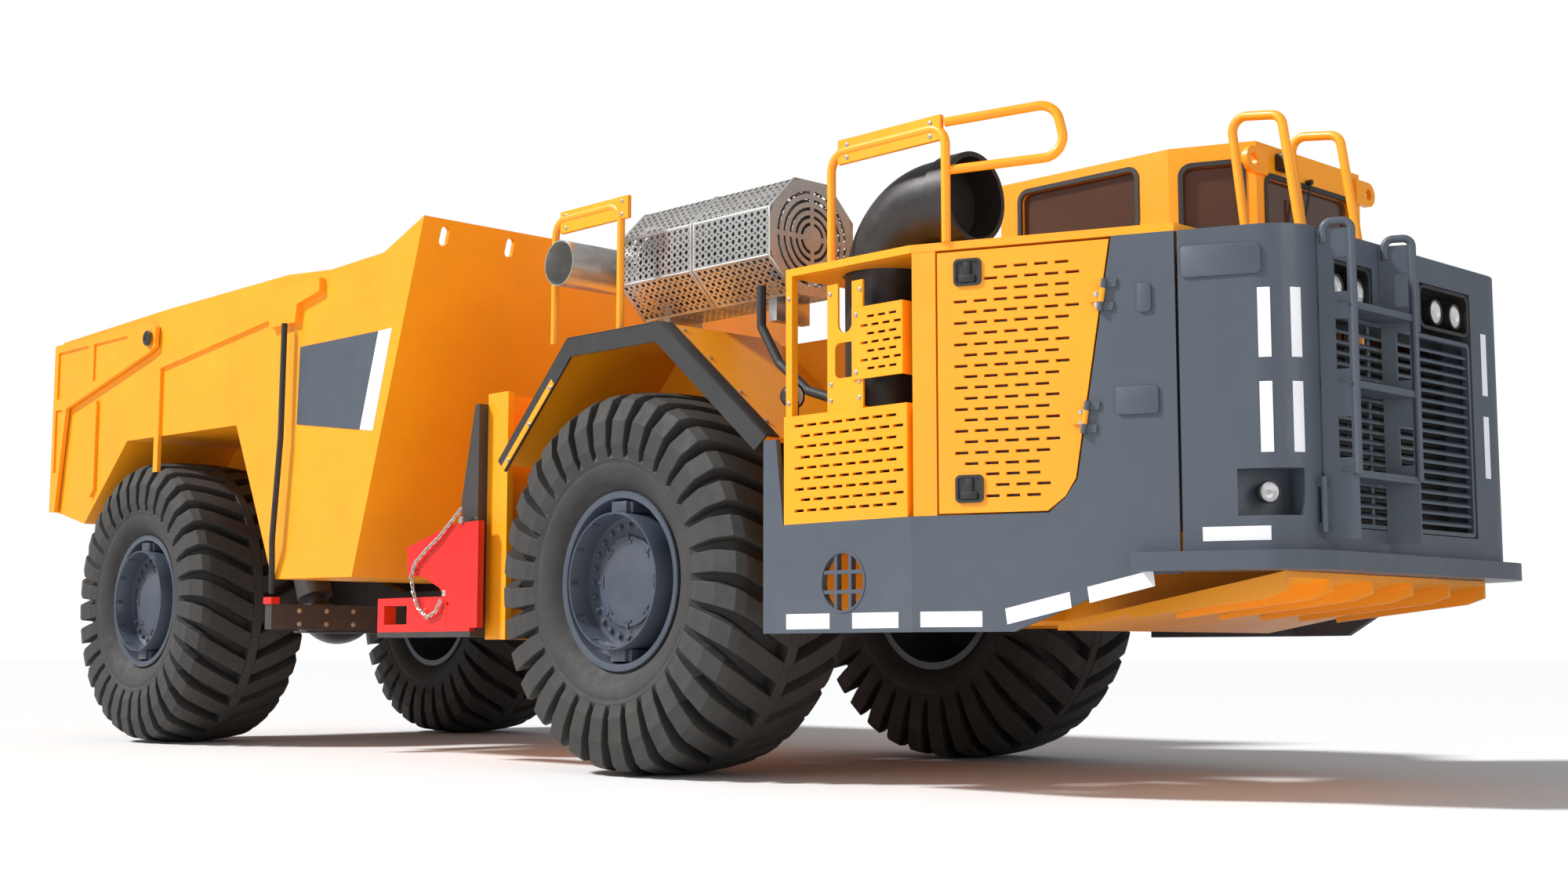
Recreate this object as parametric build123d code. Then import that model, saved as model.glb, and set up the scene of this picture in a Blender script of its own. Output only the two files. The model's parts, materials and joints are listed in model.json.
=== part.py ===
"""Low-profile articulated dump truck, millimetres, +X forward, +Y left, +Z up.

The origin is on the ground, midway along the machine on its centreline. Stations called a_... are
measured from the front axle, stations called b_... from the rear axle, both positive forward.
"""
from build123d import *
from math import atan2, cos, pi, radians, sin, tan
import os

# ---- driving dimensions --------------------------------------------------------------------
overall_length = 10540
wheelbase = 5295
front_overhang = 3750          # front axle to the ladder's front edge
hitch_share = 0.5              # the hitch lies midway, so that both axles follow one track
body_half_width = 1580
running_gap = 8                # between pieces that move past each other
seat_gap = 0.3                 # between pieces that seat on each other

tyre_radius = 997
tyre_half_section = 430
tyre_half_crown = 285
tyre_shoulder_radius = 745
lug_depth = 67
lug_count = 32                 # on each side, one groove between two lugs
groove_share = 0.36            # of the lug pitch
centre_rib_half_width = 34
bead_radius = 448
bead_half_width = 334.6
half_track = 1218
rim_flange_radius = 466
rim_flange_width = 20
rim_wall = 22
rim_disc_depth = 150           # the dark annular gap's floor, inside the flange plane
rim_disc_thickness = 45
hub_plane_depth = 82
hub_radius = 236
hub_cover_height = 15
lock_ring_radius = 354
lock_ring_wall = 12
lock_ring_reach = 45           # outside the flange plane
driver_half_width = 45
axle_tube_radius = 150
axle_end_radius = 205
axle_seat_z = tyre_radius + 225  # where the frames sit on the axles' pads
axle_pad_y = 400
axle_pad_half_width = 55
axle_pad_half_length = 90
differential_radius = 300

panel_thickness = 30
panel_low_z = 719
panel_sill_z = 1227
nose_angle = 22.5
nose_radius = 250
bumper_low_z = 966
bumper_top_z = 1045
bumper_reach = 80
ladder_reach = 150             # the ladder stands this far before the nose
hood_top_z = 2408
deck_top_z = 2444
deck_thickness = 35.7

box_half_width = 1595
box_wall = 30
box_floor = 40
tailgate_thickness = 45
tailgate_arm_thickness = 32

cab_wall = 55
cab_roof_z = 3165
cab_inner_y = 155
glass_thickness = 8

rail_radius = 21
rail_bend = 90

# ---- stations worked out from the driving dimensions -----------------------------------------
front_axle_x = overall_length / 2 - front_overhang
rear_axle_x = front_axle_x - wheelbase
hitch_x = front_axle_x - wheelbase * hitch_share


def front(a):
    """Row X of a station measured from the front axle."""
    return front_axle_x + a


def rear(b):
    """Row X of a station measured from the rear axle."""
    return rear_axle_x + b


# ---- small helpers ---------------------------------------------------------------------------
def block(x0, x1, y0, y1, z0, z1):
    return Pos((x0 + x1) / 2, (y0 + y1) / 2, (z0 + z1) / 2) * Box(abs(x1 - x0), abs(y1 - y0), abs(z1 - z0))


def plate_xz(points, y0, y1):
    """A plate whose outline is drawn in X and Z and whose thickness runs from y0 to y1."""
    face = Face(Wire.make_polygon([Vector(x, y0, z) for x, z in points]))
    return Solid.extrude(face, Vector(0, y1 - y0, 0))


def plate_xy(points, z0, z1):
    face = Face(Wire.make_polygon([Vector(x, y, z0) for x, y in points]))
    return Solid.extrude(face, Vector(0, 0, z1 - z0))


def plate_yz(points, x0, x1):
    face = Face(Wire.make_polygon([Vector(x0, y, z) for y, z in points]))
    return Solid.extrude(face, Vector(x1 - x0, 0, 0))


def rod(start, end, radius):
    """A round bar from one point to another."""
    start, end = Vector(*start), Vector(*end)
    return Solid.make_cylinder(radius, (end - start).length, Plane(origin=start, z_dir=end - start))


def pipe(points, radius, bend):
    """A round bar along straight runs joined by bends."""
    path = FilletPolyline(*points, radius=bend)
    start = Plane(origin=path @ 0, z_dir=path % 0)
    return sweep(start * Circle(radius), path=path)


def mirrored(shape):
    return mirror(shape, about=Plane.XZ)


def pair(shape):
    """A piece and its mirror image on the other side of the centreline."""
    return [shape, mirrored(shape)]


def fused(pieces):
    whole = pieces[0]
    for piece in pieces[1:]:
        whole = whole + piece
    return whole


knuckle_length = 60
knuckle_stub = 40


def knuckles(base, direction, starts, radius):
    """Hinge barrels along an axis: the moving ones, and the fixed stubs at both ends of each."""
    direction = Vector(*direction).normalized()

    def stretch(d0, d1):
        p0, p1 = Vector(*base) + direction * d0, Vector(*base) + direction * d1
        return rod(tuple(p0), tuple(p1), radius)

    moving = [stretch(d, d + knuckle_length) for d in starts]
    fixed = [stretch(d - knuckle_stub, d - seat_gap) for d in starts]
    fixed += [stretch(d + knuckle_length + seat_gap, d + knuckle_length + knuckle_stub) for d in starts]
    return moving, fixed


# ---- the body's outline in plan ----------------------------------------------------------------
a_panel_rear = 1095
a_kink = 2042
a_nose = front_overhang - ladder_reach
nose_slope = tan(radians(nose_angle))


def side_y(a, inset=0):
    """Half-width of the body at a station, drawn inwards by an inset normal to the wall."""
    if a <= a_kink:
        return body_half_width - inset
    return body_half_width - (a - a_kink) * nose_slope - inset / cos(radians(nose_angle))


def nose_plan(a_start, inset, z0, z1, a_front=a_nose):
    """Everything inside the nose's outline from a station forward, its front corners rounded."""
    a_front = a_front - inset
    points = [(front(a_start), side_y(a_start, inset))]
    if a_start < a_kink:
        a_turn = a_kink - inset * tan(radians(nose_angle) / 2)
        points.append((front(a_turn), body_half_width - inset))
    points.append((front(a_front), side_y(a_front, inset)))
    points += [(x, -y) for x, y in reversed(points)]
    solid = plate_xy(points, z0, z1)
    corners = [e for e in solid.edges().filter_by(Axis.Z) if e.center().X > front(a_front) - 1]
    return fillet(corners, nose_radius - inset)


def on_wall(s, out=0):
    """A point on the slanted right side wall, s along it from the kink, out normal to it."""
    angle = radians(nose_angle)
    return (front(a_kink) + s * cos(angle) + out * sin(angle),
            -body_half_width + s * sin(angle) - out * cos(angle))


def wall_plate(points, out0, out1):
    """A plate on the slanted right wall: outline in s and Z, thickness from out0 to out1."""
    faces = []
    for out in (out0, out1):
        faces.append(Wire.make_polygon([Vector(*on_wall(s, out), z) for s, z in points]))
    offset_vector = Vector(*on_wall(0, out1), 0) - Vector(*on_wall(0, out0), 0)
    return Solid.extrude(Face(faces[0]), offset_vector)


def wall_s(a):
    return (a - a_kink) / cos(radians(nose_angle))


# ---- wheels -----------------------------------------------------------------------------------
def tyre(x, y):
    """Planar-faced tyre whose grooves run over the shoulders and slant towards a centre rib."""
    pitch = 2 * pi / lug_count
    groove_radius = tyre_radius - lug_depth
    sidewall_slope = (tyre_half_section - bead_half_width) / (tyre_shoulder_radius - rim_flange_radius - 1)
    bead = (bead_half_width - sidewall_slope * (rim_flange_radius + 1 - bead_radius), bead_radius)
    shoulder = (tyre_half_section, tyre_shoulder_radius)
    crown, crown_floor = (tyre_half_crown, tyre_radius), (tyre_half_crown, groove_radius)
    rib, rib_floor = (centre_rib_half_width, tyre_radius), (centre_rib_half_width, groove_radius)

    def ring_point(side, ring, k):
        angle = pitch * (k + 0.5)
        corner = ring[1] / cos(pitch / 2)
        return Vector(x + corner * sin(angle), y + side * ring[0], tyre_radius + corner * cos(angle))

    def point(side, ring, k, share):
        """A point on the chord of pitch k; the rib's rings lie one pitch ahead of the crown's."""
        k += ring in (rib, rib_floor)
        first = ring_point(side, ring, k)
        return first + (ring_point(side, ring, k + 1) - first) * share

    faces = []
    for side in (-1, 1):
        for k in range(lug_count):
            def strip(ring_a, ring_b, share_a, share_b, flat=True):
                corners = [point(side, ring_a, k, share_a), point(side, ring_b, k, share_a),
                           point(side, ring_b, k, share_b), point(side, ring_a, k, share_b)]
                outlines = [corners] if flat else [corners[:3], [corners[0], corners[2], corners[3]]]
                faces.extend(Face(Wire.make_polygon(outline)) for outline in outlines)

            g = groove_share
            faces.append(Face(Wire.make_polygon([point(side, bead, k, 0), point(side, shoulder, k, 0),
                                                 point(side, shoulder, k, g), point(side, shoulder, k, 1),
                                                 point(side, bead, k, 1)])))
            strip(shoulder, crown_floor, 0, g)
            strip(crown_floor, rib_floor, 0, g, False)
            strip(rib_floor, rib, 0, g)
            strip(shoulder, crown, g, 1)
            strip(crown, rib, g, 1, False)
            for share in (0, g):
                wall = [point(side, ring, k, share) for ring in (crown, rib, rib_floor, crown_floor)]
                for outline in ([point(side, shoulder, k, share), wall[0], wall[3]], wall[:3],
                                [wall[0], wall[2], wall[3]]):
                    faces.append(Face(Wire.make_polygon(outline)))
    for k in range(lug_count):
        for share_a, share_b in ((0, groove_share), (groove_share, 1)):
            corners = [point(-1, rib, k, share_a), point(-1, rib, k, share_b), point(1, rib, k, share_b),
                       point(1, rib, k, share_a)]
            faces.append(Face(Wire.make_polygon(corners)))
        corners = [point(-1, bead, k, 0), point(-1, bead, k, 1), point(1, bead, k, 1), point(1, bead, k, 0)]
        faces.append(Face(Wire.make_polygon(corners)))
    return Solid(Shell(faces))


def rim(x, side):
    """Barrel with two flanges, a lock ring with two drivers and a recessed hub with its cover."""
    y_centre = side * half_track
    barrel = bead_radius - seat_gap
    flange_y = bead_half_width + seat_gap
    lip = flange_y + rim_flange_width
    gap_floor, hub_plane = lip - rim_disc_depth, lip - hub_plane_depth
    bore = barrel - rim_wall
    profile = [(-lip, bore), (-lip, rim_flange_radius), (-flange_y, rim_flange_radius), (-flange_y, barrel),
               (flange_y, barrel), (flange_y, rim_flange_radius), (lip, rim_flange_radius), (lip, bore),
               (gap_floor, bore), (gap_floor, lock_ring_radius), (lip + lock_ring_reach, lock_ring_radius),
               (lip + lock_ring_reach, lock_ring_radius - lock_ring_wall),
               (hub_plane, lock_ring_radius - lock_ring_wall), (hub_plane, hub_radius),
               (hub_plane + hub_cover_height, hub_radius), (hub_plane + hub_cover_height, 0),
               (gap_floor - rim_disc_thickness, 0), (gap_floor - rim_disc_thickness, bore)]
    face = Face(Wire.make_polygon([Vector(r, side * w, 0) for w, r in profile]))
    wheel = revolve(face, Axis.Y)
    for z0, z1 in ((-bore - 1, 2 - lock_ring_radius), (lock_ring_radius - 2, bore + 1)):
        wheel += block(-driver_half_width, driver_half_width, side * (gap_floor - 1), side * lip, z0, z1)
    return Pos(x, y_centre, tyre_radius) * wheel


def axle(x):
    """Rigid axle: differential case, two tubes and the wheel ends inside the rims."""
    hub_face = (half_track + bead_half_width + seat_gap + rim_flange_width - rim_disc_depth
                - rim_disc_thickness)
    parts = [rod((x, -600, tyre_radius), (x, 600, tyre_radius), axle_tube_radius),
             Pos(x, 0, tyre_radius) * Sphere(differential_radius)]
    for y in (-axle_pad_y, axle_pad_y):
        parts.append(block(x - axle_pad_half_length, x + axle_pad_half_length, y - axle_pad_half_width,
                           y + axle_pad_half_width, tyre_radius, axle_seat_z - seat_gap))
    for side in (-1, 1):
        parts.append(rod((x, side * 560, tyre_radius), (x, side * (hub_face - seat_gap), tyre_radius),
                         axle_end_radius))
    return fused(parts)


# ---- front unit -------------------------------------------------------------------------------
rail_half_gap = 400
rail_width = 60
rail_low_z = 760
rail_top_z = 1180
hitch_top_z = 1050
hitch_half_width = 300
ear_thickness = 60
a_bulkhead = -1290
bulkhead_thickness = 40
bulkhead_half_width = 1480
column_top_z = 2100
bulkhead_top_z = 1560
axle_arch_radius = differential_radius + 15


def front_frame():
    """Two deep rails with cross members, the rear bulkhead, outriggers and the hitch plates."""
    a_hitch = hitch_x - front_axle_x
    a_frame_front = a_nose - bumper_ring - seat_gap
    outline = [(a_bulkhead, rail_low_z), (2300, rail_low_z), (a_frame_front, bumper_low_z + 12),
               (a_frame_front, 1100), (3380, 1100), (3200, rail_top_z), (1300, rail_top_z), (700, rail_top_z + 150),
               (-700, rail_top_z + 150), (a_bulkhead, rail_top_z)]
    rail = plate_xz([(front(a), z) for a, z in outline], rail_half_gap, rail_half_gap + rail_width)
    tongue = [(a_hitch + 420, rail_low_z), (a_bulkhead + 5, rail_low_z), (a_bulkhead + 5, rail_top_z),
              (a_hitch + 420, hitch_top_z)]
    parts = pair(rail)
    parts += pair(plate_xz([(front(a), z) for a, z in tongue], hitch_half_width - rail_width, hitch_half_width))
    for a, low, high in ((-640, rail_low_z, 900), (560, rail_low_z, 1150), (2000, 900, rail_top_z),
                         (a_frame_front - 60, 985, 1095)):
        parts.append(block(front(a), front(a + 60), -rail_half_gap - 5, rail_half_gap + 5, low, high))
    parts.append(block(front(a_hitch + 420), front(a_hitch + 480), -hitch_half_width + 5, hitch_half_width - 5,
                       rail_low_z, hitch_top_z))
    parts.append(block(front(a_bulkhead), front(a_bulkhead + bulkhead_thickness), -bulkhead_half_width,
                       bulkhead_half_width, 704, bulkhead_top_z))
    column = [(a_bulkhead, 704), (a_bulkhead + 190, 704), (a_bulkhead + 190, column_top_z),
              (a_bulkhead, column_top_z)]
    parts += pair(plate_xz([(front(a), z) for a, z in column], bulkhead_half_width - 40, bulkhead_half_width))
    parts += pair(block(front(a_bulkhead), front(a_bulkhead + bulkhead_thickness), 1180, bulkhead_half_width,
                        704, column_top_z))
    for a in (1160, 1960):
        y_out = body_half_width - panel_thickness - seat_gap
        parts += pair(block(front(a), front(a + 50), rail_half_gap, y_out, 780, rail_top_z))
    w = hitch_half_width
    for low in (rail_low_z, hitch_top_z - ear_thickness):
        ear = [(a_hitch + 430, -w), (a_hitch + 430, w), (a_hitch, 150), (a_hitch - 150, 0), (a_hitch, -150)]
        parts.append(plate_xy([(front(a), y) for a, y in ear], low, low + ear_thickness))
    for z in (steering_z - 45 - running_gap - 25, steering_z + 45 + running_gap):
        parts += pair(block(front(-1470), front(a_bulkhead + 5), steering_front_y - 70, steering_front_y + 70,
                            z, z + 25))
    parts += pair(rod((front(steering_front_a), steering_front_y, steering_z - 70),
                      (front(steering_front_a), steering_front_y, steering_z + 70), steering_pin_radius))
    frame = fused(parts)
    frame -= block(front(-axle_end_radius - 20), front(axle_end_radius + 20), -700, 700, 500, axle_seat_z)
    frame -= Pos(front_axle_x, 0, tyre_radius) * Sphere(axle_arch_radius)
    frame -= rod((hitch_x, 0, 600), (hitch_x, 0, 1400), hitch_pin_radius + running_fit)
    return frame


hitch_pin_radius = 60
running_fit = 0.05
ear_gap = 2
bumper_ring = 90
steering_z = 970
steering_front_a, steering_front_y = -1400, 600
steering_rear_b, steering_rear_y = -330, 530
steering_pin_radius = 25
steering_barrel_length = 1000
steering_rod_length = 1040


def side_panel(left):
    """Grey skirt of one side with the rising sill under the nose."""
    inner = body_half_width - panel_thickness
    straight = [(a_panel_rear, panel_low_z), (a_kink, panel_low_z), (a_kink, panel_sill_z),
                (1230, panel_sill_z), (1180, 1637), (a_panel_rear, 1637)]
    if left:
        straight = straight[:3] + [(a_panel_rear, panel_sill_z)]
    s_gap = wall_s(3138)
    s_rise = wall_s(2470)
    s_bumper = wall_s(3000)
    if left:
        upper = [(s_gap, hood_top_z), (wall_s(2700), hood_top_z), (wall_s(2700), panel_sill_z)]
    else:
        upper = [(s_gap, hood_top_z), (917, hood_top_z), (754, 1368), (700, 1290), (628, 1227)]
    outline = [(0, panel_low_z), (s_rise, panel_low_z), (s_bumper, bumper_low_z - 10),
               (s_gap, bumper_low_z - 10)] + upper + [(0, panel_sill_z)]
    lap = panel_thickness * tan(radians(nose_angle / 2))
    panel = plate_xz([(front(a), z) for a, z in straight], -body_half_width, -inner)
    panel += wall_plate(outline, 0, -panel_thickness)
    panel += plate_xz([(front(a_kink - lap), panel_low_z), (front(a_kink + 2), panel_low_z),
                       (front(a_kink + 2), panel_sill_z), (front(a_kink - lap), panel_sill_z)],
                      -body_half_width + 1, -inner)
    if not left:
        panel = fused([panel] + engine_door_knuckles()[1] + engine_door_leaves(0, 55))
    vent = Pos(front(1620), -body_half_width, 950) * Rot(90, 0, 0) * Cylinder(130, 4 * panel_thickness)
    if not left:
        y0, y1 = -body_half_width - 120, -body_half_width + 180
        vent -= fused([block(front(1620 + d) - 9, front(1620 + d) + 9, y0, y1, 700, 1200) for d in (-45, 45)]
                      + [block(front(1400), front(1900), y0, y1, 950 + d - 9, 950 + d + 9) for d in (-45, 45)])
        panel -= vent
    return mirrored(panel) if left else panel


def hood():
    """The grey nose: front wall, rounded corners and top, open to the grille."""
    a_start = 3150
    shell = nose_plan(a_start, 0, bumper_top_z + seat_gap, hood_top_z)
    shell -= nose_plan(a_start - 10, panel_thickness, bumper_top_z - 10, hood_top_z - panel_thickness)
    openings = nose_openings(-200, 50)
    shell -= openings
    lining = nose_openings(-200, -5, grille_lining)
    lining -= nose_openings(-210, 0)
    hinge_lugs = []
    for z0, z1 in ladder_hinge_lugs:
        hinge_lugs.append(rod((ladder_hinge_x, ladder_hinge_y, z0), (ladder_hinge_x, ladder_hinge_y, z1),
                              ladder_hinge_radius))
        hinge_lugs.append(block(front(a_nose) - 20, ladder_hinge_x, ladder_hinge_y - 6, ladder_hinge_y + 6, z0, z1))
    hood_shell = fused([shell, lining] + hinge_lugs)
    t0, t1 = corner_pocket_t0, corner_pocket_t1
    z0, z1 = corner_pocket_low_z, corner_pocket_top_z
    w = corner_pocket_wall
    void = at_corner(corner_pocket_floor, nose_radius + 60, t0, t1, z0, z1)
    box = at_corner(corner_pocket_floor - w, nose_radius, t0 - w, t1 + w, z0 - w, z1 + w)
    box &= nose_plan(a_start, 5, z0 - 50, z1 + 50)
    for pocket_box, pocket_void in ((box, void), (mirrored(box), mirrored(void))):
        hood_shell = hood_shell + pocket_box - pocket_void
    return hood_shell


corner_turn = (90 - nose_angle) / 2          # the rounded corner's middle, below the X axis
corner_pocket_t0, corner_pocket_t1 = -215, 40
corner_pocket_low_z, corner_pocket_top_z = 1190, 1385
corner_pocket_floor = 100                    # out from the centre of the corner's rounding
corner_pocket_wall = 10
corner_lamp_t, corner_lamp_z, corner_lamp_radius, corner_lamp_depth = -80, 1290, 48, 75


def at_corner(r0, r1, t0, t1, z0, z1):
    """A block at the right rounded corner: r outwards from the rounding's centre, t along it."""
    a_centre = a_nose - nose_radius
    turned = Rot(0, 0, -corner_turn) * block(r0, r1, t0, t1, z0, z1)
    return Pos(front(a_centre), -side_y(a_centre, nose_radius), 0) * turned


grille_y0, grille_y1 = -690, 585
grille_low_z, grille_top_z = 1150, 2290
pocket_low_z = 2060
pocket_column_y0, pocket_column_y1 = -310, 110
grille_lining = 20
grille_setback = 140
slat_pitch = 48
slat_height = 14
lamp_z = 2180
lamp_radius = 62
lamp_depth = 112


def nose_openings(a0, a1, grow=0):
    """The grille's opening and the two lamp pockets over it."""
    x0, x1 = front(a_nose + a0), front(a_nose + a1)
    low = block(x0, x1, grille_y0 - grow, grille_y1 + grow, grille_low_z - grow, pocket_low_z + grow)
    right = block(x0, x1, grille_y0 - grow, pocket_column_y0 + grow, pocket_low_z - 5, grille_top_z + grow)
    left = block(x0, x1, pocket_column_y1 - grow, grille_y1 + grow, pocket_low_z - 5, grille_top_z + grow)
    return fused([low, right, left])


def grille():
    """Horizontal slats in a frame at the back of the nose's opening, with a lamp panel over them."""
    x1 = front(a_nose - grille_setback)
    x0 = x1 - 40
    g = seat_gap
    frame = nose_openings(-grille_setback - 40, -grille_setback, -g)
    frame -= block(x0 - 1, x1 + 1, grille_y0 + 25, grille_y1 - 25, grille_low_z + 25, pocket_low_z - 25)
    parts = [frame]
    count = int((pocket_low_z - grille_low_z - 50) / slat_pitch)
    for i in range(count):
        z = grille_low_z + 45 + slat_pitch * i
        parts.append(block(x0 + 5, x1 - 5, grille_y0 + 24, grille_y1 - 24, z, z + slat_height))
    for y in (-250, 150):
        parts.append(block(x0, x0 + 12, y - 15, y + 15, grille_low_z + 20, pocket_low_z - 20))
    return fused(parts)


def bumper():
    """A ledge that runs round the nose."""
    a_start = 2990
    ledge = nose_plan(a_start, -bumper_reach, bumper_low_z, bumper_top_z)
    ledge -= nose_plan(a_start - 10, bumper_ring, bumper_low_z - 5, bumper_top_z + 5)
    for side in (-1, 1):
        cutter = wall_plate([(wall_s(a_start) - 60, 500), (wall_s(3138), 500), (wall_s(3138), 2000),
                             (wall_s(a_start) - 60, 2000)], seat_gap, -700)
        ledge -= cutter if side < 0 else mirrored(cutter)
    return ledge


def belly_guard():
    """Sloping skid plates under the nose."""
    g = seat_gap
    outline = [(2300, rail_low_z - 30), (3380, bumper_low_z - 46), (3480, bumper_low_z - 26),
               (3480, bumper_low_z - g), (3400, bumper_low_z - 15 - g), (2300, rail_low_z - g)]
    guard = plate_xz([(front(a), z) for a, z in outline], -belly_half_width, belly_half_width)
    rise = (bumper_low_z - 46 - rail_low_z + 30) / (3380 - 2300)
    rib_low_z = rail_low_z - 30 + rise * (2700 - 2300)
    ribs = [(2700, rib_low_z + 10), (3380, bumper_low_z - 36), (3480, bumper_low_z - 16), (3480, bumper_low_z - 80),
            (3390, bumper_low_z - 110), (2700, rib_low_z - 20)]
    for y in belly_rib_places:
        guard += plate_xz([(front(a), z) for a, z in ribs], y - 10, y + 10)
    return guard


belly_half_width = 880
belly_rib_places = (-870, -520, -175, 175, 520, 870)


battery_top_z = 1737


def battery_box():
    """Slotted yellow box in front of the right wheel."""
    a0, a1 = 1236, 2020
    z0, z1 = panel_sill_z + seat_gap, battery_top_z
    y1 = -body_half_width + 420
    shell = block(front(a0), front(a1), -body_half_width, y1, z0, z1)
    shell -= block(front(a0 + 25), front(a1 - 25), -body_half_width + 25, y1 - 25, z0 + 25, z1 - 25)
    rows, columns = 9, 8
    slots = []
    for row in range(rows):
        for column in range(columns):
            a = a0 + 70 + (column + 0.5 * (row % 2)) * 84
            z = z0 + 55 + row * 50
            slots.append(block(front(a), front(a + 62), -body_half_width - 1, -body_half_width + 26, z, z + 13))
    return shell - fused(slots)


bracket_a0, bracket_a1, bracket_top_z = 1511, 1738, 2335
bracket_thickness = 12
bracket_y = -body_half_width + 15
bracket_notch_half_width, bracket_notch_depth = 45, 190
bracket_window = (1560, 1690, 1890, 2055)
side_guard_a1, side_guard_z0, side_guard_z1 = 1992, 1872, 2205
side_guard_thickness = 10


def battery_bracket():
    """Upright plate on the battery box, notched at its top and with a rounded window."""
    y0 = bracket_y
    y1 = y0 + bracket_thickness
    z0 = battery_top_z + seat_gap
    plate = block(front(bracket_a0), front(bracket_a1), y0, y1, z0, bracket_top_z)
    plate += block(front(bracket_a0), front(bracket_a1), y0, y0 + 90, z0, z0 + bracket_thickness)
    a_mid = (bracket_a0 + bracket_a1) / 2
    notch_z = bracket_top_z - bracket_notch_depth
    plate -= block(front(a_mid - bracket_notch_half_width), front(a_mid + bracket_notch_half_width), y0 - 5,
                   y1 + 5, notch_z, bracket_top_z + 5)
    plate -= rod((front(a_mid), y0 - 5, notch_z), (front(a_mid), y1 + 5, notch_z), bracket_notch_half_width)
    a0, a1, z0, z1 = bracket_window
    window = block(front(a0), front(a1), y0 - 5, y1 + 5, z0, z1)
    return plate - fillet(window.edges().filter_by(Axis.Y), 30)


def side_guard():
    """Small slotted guard with a returned front edge, beside the bracket."""
    y1 = bracket_y - seat_gap
    y0 = y1 - side_guard_thickness
    a0 = bracket_a1 - 60
    plate = block(front(a0), front(side_guard_a1), y0, y1, side_guard_z0, side_guard_z1)
    plate += block(front(side_guard_a1 - 12), front(side_guard_a1), y0, y0 + 150, side_guard_z0, side_guard_z1)
    slots = []
    for row in range(7):
        for column in range(3 + row % 2):
            a = a0 + 95 - 40 * (row % 2) + 68 * column
            z = side_guard_z0 + 38 + 40 * row
            slots.append(block(front(a), front(a + 46), y0 - 5, y1 + 5, z, z + 12))
    return plate - fused(slots)


hose_radius = 24
hose_y = -1290


def drain_hose():
    """Black hose from under the muffler's guard down to the top of the battery box."""
    points = [(775, muffler_z - 260), (775, 2262), (905, 2063), (1108, 1905), (1275, 1850),
              (1275, battery_top_z + seat_gap)]
    return pipe([(front(a), hose_y, z) for a, z in points], hose_radius, 48)


work_lamp_a, work_lamp_y, work_lamp_z, work_lamp_radius = 1205, -1500, 1850, 62


def work_lamp():
    """Round lamp on a stem on the battery box's rear corner, facing forward."""
    x0, x1 = front(work_lamp_a - 45), front(work_lamp_a + 30)
    lamp = rod((x0, work_lamp_y, work_lamp_z), (x1, work_lamp_y, work_lamp_z), work_lamp_radius)
    z0 = battery_top_z + seat_gap
    foot = block(front(1240), front(1330), work_lamp_y - 22, work_lamp_y + 22, z0, z0 + 8)
    arm = block(front(work_lamp_a - 8), front(1250), work_lamp_y - 8, work_lamp_y + 8, z0, work_lamp_z - 30)
    return fused([lamp, foot, arm])


def cab_plan(inset, z0, z1):
    t = inset
    a_rear = 1150
    chamfer = tan(radians(nose_angle / 2))
    points = [(a_rear + t, cab_inner_y + t), (2240 - t * chamfer, cab_inner_y + t),
              (2640 - t, 330 + t * 0.66), (2640 - t, side_y(2640, t)),
              (a_kink - t * chamfer, body_half_width - t), (a_rear + t, body_half_width - t)]
    return plate_xy([(front(a), y) for a, y in points], z0, z1)


cab_floor_z = panel_sill_z
door_a0, door_a1 = 1290, 1990


cab_hinge_x, cab_hinge_y = front(door_a0 + 4), body_half_width + 12
cab_hinge_starts = (1420, 2850)
lifting_eye_radius = 30
lifting_eye_lap = 5            # into the cab's front wall
lifting_eye_plate = 30
lifting_eye_z = 3062


def cab_door_knuckles():
    return knuckles((cab_hinge_x, cab_hinge_y, 0), (0, 0, 1), cab_hinge_starts, 12)


def lifting_eyes():
    """Two lugs on the cab's front corners."""
    x0 = front(2640) - lifting_eye_lap
    x1 = x0 + lifting_eye_plate
    lugs = []
    for y, root in ((330 - 55, 400), (side_y(2640) + 55, side_y(2640) - 70)):
        lug = rod((x1 - lifting_eye_plate, y, lifting_eye_z), (x1, y, lifting_eye_z), 65)
        lug += block(x0, x1, min(y, root), max(y, root), lifting_eye_z - 65, lifting_eye_z + 65)
        lugs.append(lug - rod((x0 - 40, y, lifting_eye_z), (x1 + 10, y, lifting_eye_z), lifting_eye_radius))
    return lugs


# the cab's fixed windows: wall's ends in stations and y, span along the wall, low and top edges
cab_window_table = (
    ((1150, cab_inner_y), (2240, cab_inner_y), (140, 890), (2785, 3095)),
    ((2240, cab_inner_y), (2640, 330), (70, 365), (2720, 3060)),
    ((2640, 330), (2640, side_y(2640)), (90, 900), (2690, 3000)),
    ((1150, body_half_width - 250), (1150, cab_inner_y), (0, 910), (2690, 3010)),
)


def cab_window(row, out0, out1, grow):
    """A prism through one of the cab's walls, from out0 to out1 inwards, wider by grow."""
    (a0, y0), (a1, y1), (s0, s1), (z0, z1) = row
    start, along = Vector(front(a0), y0, 0), Vector(a1 - a0, y1 - y0, 0).normalized()
    inward = Vector(-along.Y, along.X, 0)
    corners = [start + along * s + inward * out for s, out in
               ((s0 - grow, out0), (s1 + grow, out0), (s1 + grow, out1), (s0 - grow, out1))]
    prism = plate_xy([(c.X, c.Y) for c in corners], z0 - grow, z1 + grow)
    return fillet(prism.edges().filter_by(Axis((0, 0, 0), inward)),
                  cab_window_corner)


cab_window_corner = 45


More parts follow.
